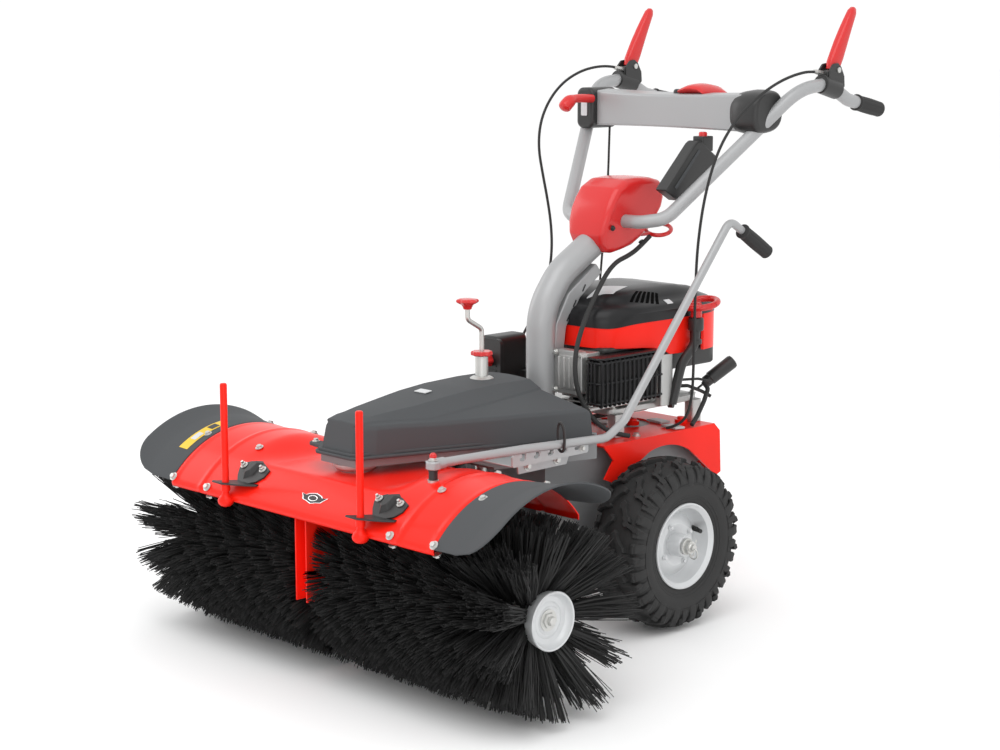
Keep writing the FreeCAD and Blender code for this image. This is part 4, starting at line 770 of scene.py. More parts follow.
def guard_label():
    """A blank yellow label with two plain patches on the far guard."""
    def patch(name, shares, angles, look, lift):
        verts = []
        for row in range(13):
            angle = math.radians(angles[0] + (angles[1] - angles[0]) * row / 12)
            for share in shares:
                verts.append(at(*guard_point(-1, share, angle, lift)))
        faces = skin(13, 2, closed=False, cap=False)
        show(name, (verts, faces), look, "brush_head")
    patch("guard_label", (0.13, 0.32), (124, 97), YELLOW, 0.6)
    patch("guard_label_patch", (0.17, 0.28), (117, 111), LABEL, 1.0)
    patch("guard_label_patch_b", (0.16, 0.29), (106, 101), DARK, 1.0)


def on_hood(x, angle_deg, lift=0.0):
    """A place on the hood and the direction it faces."""
    angle = math.radians(angle_deg)
    reach = hood_reach(x, angle) + lift
    normal = (0, math.cos(angle), math.sin(angle))
    return (x, BRUSH_Y + reach * math.cos(angle), BRUSH_Z + reach * math.sin(angle)), normal


def front_rods():
    """Two red rods at the hood's front edge, each with a domed foot."""
    parts = []
    for sign in (1, -1):
        profile = [(312, 0), (312.3, 6), (314.5, 11), (319, 15), (325, 16), (331, 13.5), (335, 9),
                   (338, 7), (343, 7), (343.6, 9.1), (356.4, 9.1), (357, 7), (551, 7), (553.2, 6),
                   (554, 4.5), (554, 0)]
        parts.append(lathe("z", (sign * ROD_X, ROD_Y), profile, 32))
    show("red_rods", merge_parts(parts), RED, "brush_head", 40, ["front_rods"])


def hood_plate(outline, low, high, shrink=1.0):
    """A plate that lies on the hood: (x, angle) corners, from one height above it to another."""
    mid_x = sum(x for x, _ in outline) / len(outline)
    mid_angle = sum(angle for _, angle in outline) / len(outline)
    rings = []
    for lift, grow in ((low, 1.0), (high, shrink)):
        rings.append([on_hood(mid_x + (x - mid_x) * grow, mid_angle + (angle - mid_angle) * grow,
                              lift)[0] for x, angle in outline])
    return loft(rings)


def rod_brackets():
    """The black bracket of each rod: a pointed tongue, and a plate with a raised fold and bolts."""
    parts, bolts = [], []
    for shift in (0, -2 * ROD_X):
        tongue = [(167, -803), (171, -808), (198, -809), (222, -799), (248, -785), (264, -772),
                  (262, -762), (206, -760), (196, -770), (186, -784), (176, -797)]
        parts.append(slab([(a + shift, b) for a, b in tongue], (357.5, 360.5), "xy"))
        plate = [(192, 131), (182, 127), (184, 123.5), (198, 121.5), (238, 121.5), (266, 124.5),
                 (266, 129), (254, 132.5), (230, 135), (206, 135)]
        parts.append(hood_plate([(x + shift, angle) for x, angle in plate], 0.6, 4.2))
        fold = [(204, 121.2), (224, 119.6), (234, 121.2), (230, 130), (216, 133), (205, 130)]
        parts.append(hood_plate([(x + shift, angle) for x, angle in fold], 3.0, 12.0, 0.55))
        for x in (190, 248):
            place, normal = on_hood(x + shift, 125.2, 4.4)
            bolts.append(bolt_parts(place, normal, 5.2, 4.5))
            stud = disc_rings(3.0, 0, 11, 16)
            bolts.append((turned_to(stud[0], at(*place), normal), stud[1]))
    show("bracket_plates", merge_parts(parts), BLACK_METAL, "brush_head", 30, ["rod_brackets"],
         rounded=(0.9, 2))
    show("bracket_bolts", merge_parts(bolts), ZINC, "brush_head", 30)


def hood_bolts():
    """The bolts of the hood and guards."""
    parts = []
    for sign in (1, -1):
        for x, angle in ((402, 110), (402, 70), (264 + 36 * sign, 111), (268, 68)):
            place, normal = on_hood(sign * x, angle, 1.2)
            parts.append(bolt_parts(place, normal, 5.6, 3.5, spin=0.5))
        for x, angle in ((383, 140.2), (270, 141)):
            place, normal = on_hood(sign * x, angle, 1.0)
            parts.append(bolt_parts(place, normal, 5.8, 5))
            below = (place[0], place[1] + 6, place[2] - 16)
            parts.append(bolt_parts(below, (-normal[0], -normal[1] * 0.4, -normal[2]), 5.6, 5))
    pin = [(412, 0), (412, 10), (417, 10.5), (418, 5), (452, 5), (452.5, 9), (454, 9), (454, 6.5),
           (458, 6.5), (458.5, 0)]
    parts.append(lathe("z", PIN, pin, 32))
    sleeve = [(418, 5.2), (418, 8.3), (433, 8.3), (433, 9.5), (435, 9.5), (435, 5.2)]
    show("pin_sleeve", lathe("z", PIN, sleeve, 32, True), BLACK_METAL, "brush_head", 30)
    show("hood_fixings", merge_parts(parts), ZINC, "brush_head", 30, ["hood_bolts"])
    cap = [(457.5, 0), (457.5, 6.4), (460, 7), (463.5, 6.4), (466, 4.2), (467, 2), (467.2, 0)]
    show("pin_cap", lathe("z", PIN, cap, 28), RED_PLASTIC, "brush_head", 40)


def badge():
    """A plain winged badge with no lettering on the hood's front."""
    def plate(name, outline, look, lift, thick):
        verts = []
        for level in (lift, lift + thick):
            for a, b in outline:
                place, _ = on_hood(29 + a, 133.0 + b * 0.245, level)
                verts.append(at(*place))
        faces = prism_faces(len(outline))
        show(name, (verts, faces), look, "brush_head", 30)
    wings = [(-38, -7), (-24, -5), (-18, -9), (0, -13), (18, -9), (24, -5), (38, -7), (30, 1),
             (26, 6), (14, 8), (0, 12), (-14, 8), (-26, 6), (-30, 1)]
    plate("badge_edge", wings, STEEL, 0.4, 0.6)
    plate("badge_face", [(a * 0.9, b * 0.86) for a, b in wings], BLACK_METAL, 0.8, 0.7)
    ring = [(13 * math.cos(t), 6.5 * math.sin(t)) for t in turns(24)]
    plate("badge_oval", ring, STEEL, 1.2, 0.8)
    plate("badge_centre", [(a * 0.8, b * 0.75) for a, b in ring], BLACK_METAL, 1.6, 0.8)


def gear_post():
    """The red channel in front of the gear case, between the brush halves, and its neck."""
    channel = [(-17, -774), (-13.4, -774), (-13.4, -748), (13.4, -748), (13.4, -774), (17, -774),
               (17, -744.5), (-17, -744.5)]
    case = [(-745, 162), (-745, 330), (-700, 386), (-560, 386), (-560, 170), (-590, 150),
            (-640, 150), (-700, 162)]
    neck_low = [(330, 0), (330, 34), (386, 26), (407, 17), (407, 0)]
    parts = [slab(channel, (158.5, 322), "xy"), slab(case, (-16, 16), "yz"),
             lathe("z", NECK, neck_low, 40)]
    show("post_channel", merge_parts(parts), RED, "brush_head", 30, ["gear_post"], rounded=(1.0, 2))


def neck():
    """The stepped silver collar that the head turns on, over the gear post."""
    profile = [(388, 0), (388, 30), (392, 32), (394, 32), (395, 38), (399, 42), (404, 43),
               (406.8, 43), (407, 20), (407, 0)]
    show("neck_collar", lathe("z", NECK, profile, 64), CAST, "brush_head", 30)


def brush_end_caps():
    """The dished silver cap at each end of the brush, with its centre bolt."""
    parts, bolts = [], []
    for sign in (1, -1):
        profile = [(472.5, 15), (472.5, 48), (476, 51), (494, 54), (497, 54.5), (498.5, 53),
                   (497.5, 50.5), (494, 49), (488, 47), (484.5, 43), (484, 34), (486, 31),
                   (486.5, 27), (485, 25), (484, 23), (485, 15)]
        parts.append(lathe("x", (BRUSH_Y, BRUSH_Z), [(sign * a, r) for a, r in profile], 72, True))
        hub = [(484, 0), (484, 14), (486.5, 15), (489, 14), (490, 9), (497, 8.5), (498, 7),
               (498, 0)]
        bolts.append(lathe("x", (BRUSH_Y, BRUSH_Z), [(sign * a, r) for a, r in hub], 6))
        washer = [(483.6, 16), (483.6, 20), (486, 20), (486, 0)]
        bolts.append(lathe("x", (BRUSH_Y, BRUSH_Z), [(sign * a, r) for a, r in washer], 32))
    show("brush_caps", merge_parts(parts), RIM, "brush", 35, ["brush_end_caps"])
    show("brush_cap_bolts", merge_parts(bolts), ZINC, "brush", 30)


# ---------------------------------------------------------------- belt cover

COVER_FOOT, COVER_WALL = 428, 56
COVER_STATIONS = [
    # y of the foot, lean, foot's half width, wall top, ridge (x, z), crown (x, z) and top
    (-684, 11, 44, 484, 38, 489, 26, 491, 492),
    (-645, 5, 70, 486, 52, 491, 36, 498, 500),
    (-600, 1, 83, 486, 63, 490, 44, 503, 505),
    (-526, 0, 108, 483, 92, 488, 56, 510, 512),
    (-470, 0, 128, 483, 101, 495, 60, 517, 519),
    (-400, 0, 158, 484, 104, 500, 62, 523, 526),
    (-310, 0, 192, 485, 99, 505, 62, 526, 529),
    (-225, 0, 221, 485, 90, 509, 62, 525, 528),
    (-211, -4, 223, 478, 90, 500, 62, 514, 518),
]


def cover_ring(station):
    """One whole section of the cover, from one foot over the crown to the other."""
    y, lean, foot, wall_top, ridge_x, ridge_z, crown_x, crown_z, top = station
    half = [(foot, COVER_FOOT), (foot - 1.5, (COVER_FOOT + wall_top) / 2),
            (foot - 3, wall_top - 7), (foot - 7, wall_top), (ridge_x + 3, ridge_z - 1.5),
            (ridge_x, ridge_z + 2), (crown_x, crown_z), (crown_x / 2, top - 1), (0, top)]
    ring = [(x, y + lean * (z - COVER_FOOT) / COVER_WALL, z) for x, z in half]
    return ring + [(-x, py, z) for x, py, z in reversed(ring[:-1])]


def cover_rings(steps=5):
    """The cover's sections, with evenly blended ones between the stations."""
    rings = []
    for first, second in zip(COVER_STATIONS, COVER_STATIONS[1:]):
        for step in range(steps):
            share = step / steps
            rings.append(cover_ring([a + (b - a) * share for a, b in zip(first, second)]))
    rings.append(cover_ring(COVER_STATIONS[-1]))
    return rings


def belt_cover():
    """The long dark cover: flat sides, a ridge that curves up to the rear, and a low crown."""
    rings = cover_rings()
    verts, faces = loft(rings, cap=False, closed=False)
    count = len(rings[0])
    faces.append(tuple(range(count)))
    last = (len(rings) - 1) * count
    faces.append(tuple(last + index for index in reversed(range(count))))
    show("cover_shell", (verts, faces), DARK, "root", 18, ["belt_cover"], rounded=(2.2, 3, 16))
    lip = [(50, -692), (62, -684), (70, -655), (224, -212), (220, -202)]
    plan = lip + [(-x, y) for x, y in reversed(lip)]
    show("cover_lip", slab(plan, (424, 430.5), "xy"), DARK, "root", 30, rounded=(2.0, 2))
    step = [(47, -688), (57, -680), (64.5, -653), (222.5, -214)]
    plan = step + [(-x, y) for x, y in reversed(step)]
    show("cover_band", slab(plan, (430, 436), "xy"), DARK, "root", 30, rounded=(1.5, 2))
    ear = [(-58, -672), (-84, -668), (-104, -664), (-111, -654), (-104, -643),
           (-84, -640), (-64, -640)]
    show("cover_ear", slab(ear, (428, 435), "xy"), DARK, "root", rounded=(1.5, 2))
    bolts = [bolt_parts((-96, -654, 435), (0, 0, 1), 5, 4),
             bolt_parts((206, -205, 430), (0, 0, 1), 5, 4)]
    show("cover_bolts", merge_parts(bolts), ZINC, "root", 30)
    label = slab([(-16, -470), (16, -470), (16, -452), (-16, -452)], (521.2, 522.6), "xy")
    verts, faces = label
    tilt = [Vector((v.x, v.y, v.z + (v.y - at(0, -461, 0).y) * 0.14)) for v in verts]
    show("cover_label", (tilt, faces), LABEL, "root")


# ---------------------------------------------------------------- column, levers and handlebars

def steering_column():
    """The thick bent tube, with the slotted channel behind its bend and its foot plate."""
    route = fillet([(0, -131, 380), (0, -131, 650), (0, -75, 722), (0, 18, 775)], [190, 140], 14)
    parts = [tube(route, 30, 40)]
    parts.append(lathe("z", COLUMN, [(380, 29), (380, 46), (386, 46), (388, 44), (388, 31),
                                        (392, 30)], 48))
    show("column_tube", merge_parts(parts), GREY, "root", 35, ["steering_column"])
    side = [(-112, 552), (-106, 620), (-70, 680), (14, 736), (32, 716), (-34, 669), (-76, 612),
            (-84, 556)]
    show("column_brace", slab(side, (-21, 21), "yz"), GREY, "root", 30, rounded=(2.5, 2))
    # The slots are thin black plates on the brace's face: painted shade standing in for the
    # openings.
    slots = []
    for y, z in ((-77, 624), (-58, 652), (-30, 682)):
        slots.append(slab([(y, z), (y + 3, z - 2), (y + 12, z + 12), (y + 9, z + 14)], (21.1, 21.6),
                          "yz"))
    show("brace_slots_painted_shade", merge_parts(slots), BLACK_METAL, "root")


LEVER_ROUTE = [(250, -652, 445), (250, -430, 438.5), (250, -200, 427), (250, -150, 454),
               (250, 170, 832), (250, 236, 792)]


def angle_lever():
    """The long bent rod that steers the head, with its forged eye, and its grip."""
    route = fillet(LEVER_ROUTE, [600, 60, 60, 26], 12)
    eye = [(436, 6), (436, 11), (438, 13.5), (449, 13.5), (452, 11), (452, 6)]
    neck_route = fillet([(252, -662, 444.5), (251, -640, 444.5), (250, -612, 443.5)], 30)
    count = len(neck_route)
    radii = [11 - 2.4 * index / (count - 1) for index in range(count)]
    parts = [tube(route, 8.5, 24), lathe("z", PIN, eye, 36, True),
             tube(neck_route, radii, 20)]
    show("lever_rod", merge_parts(parts), GREY, "steering_lever", 38, ["angle_lever"])
    loop = smooth_line([(245, -333, 428), (245, -333, 446), (245, -334, 466), (253, -335, 480),
                        (261, -334, 466), (262, -333, 446), (261, -333, 426), (257, -333, 420),
                        (249, -333, 420), (245.5, -333, 427)], 10)
    show("latch_ring", tube(loop, 2.9, 12), BLACK_METAL, "steering_lever", 60)
    start, end = Vector(LEVER_ROUTE[4]), Vector(LEVER_ROUTE[5])
    grip_piece("lever_handgrip", start.lerp(end, 0.6), start.lerp(end, 1.95), 10.5, 15.5,
               "steering_lever", ["lever_grip"], 10)


def grip_piece(name, start, end, neck, size, body, replaced, ribs):
    """A rubber grip: a collar, a swelling body with shallow grooves along it, and a domed end."""
    axis = (end - start).normalized()
    length = (end - start).length
    steps, sides = 40, 48
    verts = []
    turn = axis.to_track_quat("Z", "Y")
    for row in range(steps + 1):
        share = row / steps
        radius = size * (0.93 + 0.07 * math.sin(math.pi * share))
        if share < 0.06:
            radius = size * 1.04
        if share < 0.012:
            radius = neck
        if share > 0.93:
            radius = size * math.sqrt(max(0.0, 1 - ((share - 0.93) / 0.075) ** 2))
        for angle in turns(sides):
            groove = 0.0
            if 0.12 < share < 0.86:
                groove = 0.9 * max(0.0, math.cos(ribs * angle)) ** 6
            around = turn @ Vector((math.cos(angle), math.sin(angle), 0))
            offset = around * max(radius - groove, 0.1)
            verts.append(at(*(start + axis * length * share + offset)))
    faces = skin(steps + 1, sides)
    show(name, (verts, faces), RUBBER, body, 35, replaced)


def comb_plate():
    """The pale notched plate with curled slots, its flange, and the bracket below it."""
    top = 424
    outline = [(-442, 404), (-438, 400), (-234, 400), (-231, 404), (-231, 419), (-236, 420)]
    for index in range(5):
        y = -262 - 38 * index
        outline += [(y + 9, top), (y + 8.5, 412), (y + 1, 409), (y - 7, 410), (y - 8.5, 415),
                    (y - 3, 416), (y - 2, 417.5), (y - 2, top - 2), (y - 4, top)]
    outline += [(-438, top), (-442, top - 4)]
    show("comb_notched", slab(outline, (226, 229.6), "yz"), LIGHT_GREY, "root", 30)
    flange = [(226, -440), (226, -233), (190, -231), (125, -440)]
    lower = [(-400, 402), (-396, 376), (-262, 376), (-250, 402)]
    parts = [slab(flange, (400, 403), "xy"), slab(lower, (196, 200), "yz")]
    show("comb_bracket", merge_parts(parts), LIGHT_GREY, "root", 30, ["comb_plate"], rounded=(1, 2))
    bolts = [bolt_parts((200, -372, 389), (1, 0, 0), 6, 4.5),
             bolt_parts((200, -290, 389), (1, 0, 0), 6, 4.5),
             bolt_parts((229.6, -250, 411), (1, 0, 0), 4.5, 4)]
    show("comb_bolts", merge_parts(bolts), ZINC, "root", 30)


BAR_HALF = [(285, 600, 1054), (289, 512, 1071), (290, 440, 1106), (287, 344, 1097),
            (140, 96, 832), (96, 66, 824)]


def handlebar_tubes():
    """The bent bar from grip to grip."""
    route = BAR_HALF + [(-x, y, z) for x, y, z in reversed(BAR_HALF)]
    line = fillet(route, [60, 60, 110, 60, 50, 50, 60, 110, 60, 60], 12)
    show("bar_tube", tube(line, 14, 36), GREY, "handlebars", 40, ["handlebar_tubes"])
    for side, sign in (("left", 1), ("right", -1)):
        end, start = [Vector((sign * x, y, z)) for x, y, z in BAR_HALF[:2]]
        grip_piece(side + "_grip", start.lerp(end, 0.35), start.lerp(end, 1.45), 15, 17.2,
                   "handlebars", ["handle_grips"] if sign > 0 else [], 12)


JOINT_SIDE = [(-4, 796), (4, 776), (20, 760), (40, 756), (70, 761), (100, 768), (126, 783),
              (150, 805), (170, 828), (186, 850), (192, 870), (191, 888), (180, 905), (150, 912),
              (110, 913), (70, 910), (40, 895), (22, 872), (10, 850), (0, 822)]


def joint_cover():
    """The rounded red housing at the top of the column, narrower at its foot."""
    rings = []
    mid_y, mid_z, foot_z = 98, 838, 756
    for x, grow in ((-57.5, 0.84), (-54, 0.93), (-46, 0.985), (-24, 1.0), (24, 1.0), (46, 0.985),
                    (54, 0.93), (57.5, 0.84)):
        ring = []
        for y, z in JOINT_SIDE:
            width = 0.80 + 0.20 * ease((z - foot_z) / 90)
            ring.append((x * width, mid_y + (y - mid_y) * grow, mid_z + (z - mid_z) * grow))
        rings.append(ring)
    show("joint_housing", loft(rings), RED_PLASTIC, "root", 60, ["joint_cover"], rounded=(6, 4, 18))
    screws = [bolt_parts((52, 118, 778), (0.7, 0, -0.7), 4, 3),
              bolt_parts((56.5, 24, 812), (1, 0, 0), 4, 3)]
    show("joint_screws", merge_parts(screws), BLACK_METAL, "root", 30)


def release_ring():
    """The red pull ring with its short rod."""
    ring = [(38 + 28 * math.cos(t), 190 + 26 * math.sin(t),
             797 + 8 * math.sin(t) - 6 * math.cos(t))
            for t in [2 * math.pi * k / 40 for k in range(41)]]
    route = [at(*point) for point in ring]
    parts = [tube(route, 4.6, 14, False), tube(straight((38, 114, 790), (38, 165, 790)), 4, 14)]
    show("pull_ring", merge_parts(parts), RED_PLASTIC, "ring", 60, ["release_ring"])


def rounded_rect(low_a, high_a, low_b, high_b, radius, steps=6):
    """A rectangle's outline with round corners."""
    points = []
    for ca, cb, start in ((high_a - radius, high_b - radius, 0),
                          (low_a + radius, high_b - radius, 90),
                          (low_a + radius, low_b + radius, 180),
                          (high_a - radius, low_b + radius, 270)):
        for step in range(steps + 1):
            angle = math.radians(start + 90 * step / steps)
            points.append((ca + radius * math.cos(angle), cb + radius * math.sin(angle)))
    return points


def dash_panel():
    """The pale panel between the bars with a dark rounded cap at each end."""
    top, bottom = [], []
    for step in range(25):
        share = step / 24
        x = -212 + 424 * share
        bow = math.sin(math.pi * share)
        top.append((x, 1086 - 4 * bow))
        bottom.append((x, 1008 + 4 * bow))
    outline = top + bottom[::-1]
    front, rear = [], []
    for x, z in outline:
        bulge = 22 * math.cos(math.pi * x / 450)
        front.append((x, 252 - bulge, z))
        rear.append((x, 296, z + (4 if z > 1050 else 10)))
    show("panel_face", loft([front, rear]), GREY, "handlebars", 30, ["dash_panel"],
         rounded=(5, 4, 30))
    cap = rounded_rect(-246, -196, 1002, 1092, 16)
    show("panel_cap_right", slab(cap, (232, 316), "xz"), BLACK, "handlebars", 30, rounded=(7, 4))
    plate = slab(rounded_rect(-230, -212, 1030, 1076, 3), (230.6, 232.4), "xz")
    show("panel_cap_label", plate, LABEL, "handlebars")
    rings = []
    mid_y, mid_z = 284, 1050
    for x, grow in ((178, 0.62), (184, 0.80), (196, 0.94), (214, 1.0), (236, 1.0), (252, 0.95),
                    (259, 0.84)):
        ring = []
        for angle in turns(36):
            y = mid_y + 50 * grow * squared(math.cos(angle), 0.72)
            z = mid_z + 45 * grow * squared(math.sin(angle), 0.72)
            ring.append((x, y, z + 0.1 * (y - mid_y)))
        rings.append(ring)
    show("panel_cap_left", loft(rings), BLACK, "handlebars", 50, rounded=(3, 3, 25))


def throttle_lever():
    """The red throttle lever over the panel's top edge, with its black hub."""
    rings = []
    mid_y = 300
    for x, low, high in ((30, 1080, 1092), (36, 1078, 1098), (50, 1079, 1104), (66, 1080, 1106),
                         (84, 1079, 1103), (94, 1078, 1095), (99, 1079, 1088)):
        ring = []
        for angle in turns(20):
            y = mid_y + 46 * math.cos(angle)
            z = (low + high) / 2 + (high - low) / 2 * math.sin(angle) - 0.06 * (y - mid_y)
            ring.append((x, y, z))
        rings.append(ring)
    show("throttle_grip", loft(rings), RED_PLASTIC, "throttle", 50, ["throttle_lever"])
    hub = [(1080, 0), (1080, 11), (1088, 11), (1092, 9), (1093, 6), (1093, 0)]
    show("throttle_hub", lathe("z", (16, 276), hub, 28), BLACK, "handlebars", 35)


def gear_lever():
    """The red gear lever: a stem and a bulb that droops forwards."""
    route = smooth_line([(-202, 236, 1068), (-202, 196, 1070), (-202, 172, 1068), (-202, 154, 1058),
                         (-202, 143, 1046)], 10)
    count = len(route)
    radii = []
    for index in range(count):
        share = index / (count - 1)
        radius = 9.5 + 5 * ease((share - 0.35) / 0.35)
        if share > 0.9:
            radius = 14.5 * math.sqrt(max(0.02, 1 - ((share - 0.9) / 0.102) ** 2))
        radii.append(radius)
    show("gear_knob", tube(route, radii, 28), RED_PLASTIC, "gear_handle", 60, ["gear_lever"])


def starter_box():
    """The dark box along the left bar, its switch block and its red button."""
    side = [(92, 892), (186, 984), (196, 990), (206, 989), (258, 955), (262, 946), (256, 938),
            (146, 868), (134, 868)]
    show("starter_case", slab(side, (111, 141), "yz"), BLACK, "handlebars", 30, ["starter_box"],
         rounded=(4, 3))
    rib = [(120, 896), (196, 972), (202, 968), (127, 892)]
    show("starter_rib", slab(rib, (141, 142.6), "yz"), DARK, "handlebars", 30, rounded=(0.8, 2))
    show("switch_block", slab(rounded_rect(112, 140, 210, 247, 4), (966, 998), "xy"), BLACK,
         "handlebars", 30, rounded=(2, 2))
    profile = [(996.6, 0), (996.6, 9), (1004, 9), (1006.4, 7.6), (1007, 5), (1007, 0)]
    show("button_cap", lathe("z", (126, 228), profile, 32), RED_PLASTIC, "button", 35,
         ["start_button"])


def clutch_lever(side, sign):
    """A tall red lever: a broad root round its pin, and a blade that narrows to a blunt tip."""
    line = [((455, 1133), 15, 11), ((460, 1146), 19, 12), ((470, 1164), 18.5, 13),
            ((482, 1188), 16.5, 13.5), ((496, 1214), 14, 13), ((510, 1238), 12, 11.5),
            ((521, 1256), 10.5, 10), ((526, 1264), 6.5, 7), ((527, 1266), 3, 4)]
    rings = []
    for index, ((y, z), wide, thick) in enumerate(line):
        before, after = line[max(index - 1, 0)][0], line[min(index + 1, len(line) - 1)][0]
        along = Vector((after[0] - before[0], after[1] - before[1])).normalized()
        across = Vector((along.y, -along.x))
        ring = []
        for angle in turns(24):
            a, b = squared(math.cos(angle), 0.7), squared(math.sin(angle), 0.7)
            ring.append((sign * (287.5 + thick * b * 0.85), y + across.x * wide * a,
                         z + across.y * wide * a))
        rings.append(ring)
    show(side + "_lever_blade", loft(rings), RED_PLASTIC, side + "_lever", 50,
         [side + "_clutch_lever"])


def lever_brackets():
    """The dark clamp of each lever, its cheeks, pin and the cable's adjuster."""
    parts, pins = [], []
    for sign in (1, -1):
        start, end = Vector((sign * 290, 414, 1107)), Vector((sign * 289.5, 470, 1093))
        parts.append(tube([at(*start), at(*end)], 20.5, 28))
        side = [(424, 1098), (428, 1136), (440, 1148), (456, 1150), (468, 1142), (480, 1122),
                (482, 1100), (470, 1090), (436, 1092)]
        for ends in ((271.5, 276), (299, 303.5)):
            parts.append(slab(side, sorted((sign * ends[0], sign * ends[1])), "yz"))
        parts.append(slab([(424, 1104), (426, 1132), (436, 1136), (440, 1108)],
                          sorted((sign * 276, sign * 299)), "yz"))
        pins.append(lathe("x", (458, 1135), [(sign * 269, 0), (sign * 269, 6), (sign * 272, 6),
                                             (sign * 272, 4), (sign * 303, 4), (sign * 303, 6),
                                             (sign * 306, 6), (sign * 306, 0)], 20))
        pins.append(tube(straight((sign * 284, 404, 1132), (sign * 284, 430, 1128)), 5.5, 6))
        pins.append(tube(straight((sign * 284, 398, 1133), (sign * 284, 408, 1131)), 4.2, 16))
    show("lever_clamps", merge_parts(parts), BLACK, "handlebars", 30, ["lever_brackets"],
         rounded=(1.5, 2))
    show("lever_pins", merge_parts(pins), ZINC, "handlebars", 30)


# ---------------------------------------------------------------- crank

def height_crank():
    """The crank: bent zinc rod, scalloped red collar and red mushroom knob."""
    knob_y = -340
    route = fillet([(*CRANK, 560), (*CRANK, 629), (0, knob_y, 651), (0, knob_y, 684)], 13, 8)
    show("crank_rod", tube(route, 5, 20), ZINC, "crank", 40, ["height_crank"])
    rings = []
    for level, grow in ((574.6, 0.9), (576, 1.0), (581, 1.0), (583.6, 0.92)):
        ring = []
        for angle in turns(80):
            radius = (20.5 + 1.6 * math.cos(8 * angle)) * grow
            ring.append((radius * math.cos(angle), CRANK[1] + radius * math.sin(angle), level))
        rings.append(ring)
    show("crank_collar", loft(rings), RED_PLASTIC, "crank", 40)
    rings = []
    for level, size, lobes in ((672, 8, 0), (676, 9.5, 0), (681, 12, 0.4), (684.5, 19, 1.4),
                               (687, 21.5, 1.8), (690, 21.5, 1.8), (692, 19.5, 1.4),
                               (693, 14, 0.6)):
        ring = []
        for angle in turns(72):
            radius = size + lobes * math.cos(6 * angle)
            ring.append((radius * math.cos(angle), knob_y + radius * math.sin(angle), level))
        rings.append(ring)
    show("crank_knob", loft(rings), RED_PLASTIC, "crank", 40)


def crank_tube():
    """The upright tube with a rolled top, and its collar on the cover."""
    profile = [(316, 10.4), (316, 13), (571, 13), (573.5, 12.4), (574, 10.6), (560, 10.4)]
    collar = [(524, 14), (524, 24), (529, 24), (532, 20), (534, 14)]
    parts = [lathe("z", CRANK, profile, 36), lathe("z", CRANK, collar, 36)]
    show("tube_sleeve", merge_parts(parts), ZINC, "root", 30, ["crank_tube"])


# ---------------------------------------------------------------- engine

ENGINE_MID_Y, ENGINE_HALF_LENGTH, ENGINE_HALF_WIDTH = 130, 200, 132
PLAN_POWER = 3.6
DOME = [(0, 620), (1.5, 634), (4, 644), (10, 651), (24, 659), (34, 672), (48, 681), (70, 686),
        (132, 688)]
SLOPE = [(-70, 634), (-62, 648), (-24, 668), (20, 684), (50, 688), (150, 687), (240, 676),
         (300, 660), (330, 640)]


def between(table, value):
    """The value read off a table of (place, value) pairs, in straight runs between them."""
    for (low, first), (high, second) in zip(table, table[1:]):
        if value <= high:
            return first + (second - first) * max(0.0, (value - low) / (high - low))
    return table[-1][1]


def engine_point(turn, share):
    """A place in the engine's rounded plan: share 1 is its wall and share 0 its middle."""
    power = 2 / PLAN_POWER
    return (share * ENGINE_HALF_WIDTH * squared(math.cos(turn), power),
            ENGINE_MID_Y + share * ENGINE_HALF_LENGTH * squared(math.sin(turn), power))


def dome_height(x, y):
    """The top cover's height at a place."""
    across = (abs(x / ENGINE_HALF_WIDTH) ** PLAN_POWER
              + abs((y - ENGINE_MID_Y) / ENGINE_HALF_LENGTH) ** PLAN_POWER)
    inset = (1 - min(1.0, across ** (1 / PLAN_POWER))) * ENGINE_HALF_WIDTH
    return min(between(DOME, inset), between(SLOPE, y))


def band_edges(y):
    """The heights of the red band's lower and upper edges at a place on its wall."""
    bottom = between([(-70, 572), (40, 566), (104, 557), (108, 544), (330, 538)], y)
    dip = 7 * math.exp(-((y + 40) / 42) ** 2)
    return bottom, 621 - dip


def engine_top_cover():
    """The domed black cover, with its vents, two blank labels and the recoil housing's lid."""
    steps = 120
    rings = []
    for share, rise in ((1.004, 0), (1.004, 8), (0.995, 20)):
        ring = []
        for turn in turns(steps):
            x, y = engine_point(turn, share)
            ring.append((x, y, band_edges(y)[1] - 2 + rise))
        rings.append(ring)
    for inset in (3, 6, 10, 16, 24, 29, 34, 41, 48, 58, 70, 90, 112, 128):
        share = 1 - inset / ENGINE_HALF_WIDTH
        ring = []
        for turn in turns(steps):
            x, y = engine_point(turn, share)
            ring.append((x, y, max(dome_height(x, y), band_edges(y)[1] + 20)))
        rings.append(ring)
    show("engine_dome", loft(rings), BLACK_SATIN, "root", 40, ["engine_top_cover"])
    # The vents are near-black patches laid on the dome: painted shade where the openings are, not
    # real holes.
    slots = []
    for index in range(6):
        top_x, top_y = 86 + 2.4 * index, 66 + 9.6 * index
        low_x, low_y = 101 + 3.6 * index, 30 + 12.6 * index
        slots.append(draped([(top_x, top_y), (top_x + 2, top_y + 6), (low_x + 2, low_y + 7),
                             (low_x, low_y)], 1.0, 5))
    show("vent_slots_painted_shade", merge_parts(slots), VENT_SHADE, "root", 30)
    label = draped([(17, 33), (59, 69), (71, 12), (29, -24)], 1.0, 6)
    show("engine_label", label, LABEL, "root", 60)
    small = draped([(112, 124), (112, 142), (123, 143), (123, 125)], 1.0, 4)
    show("engine_small_label", small, LABEL, "root", 60)


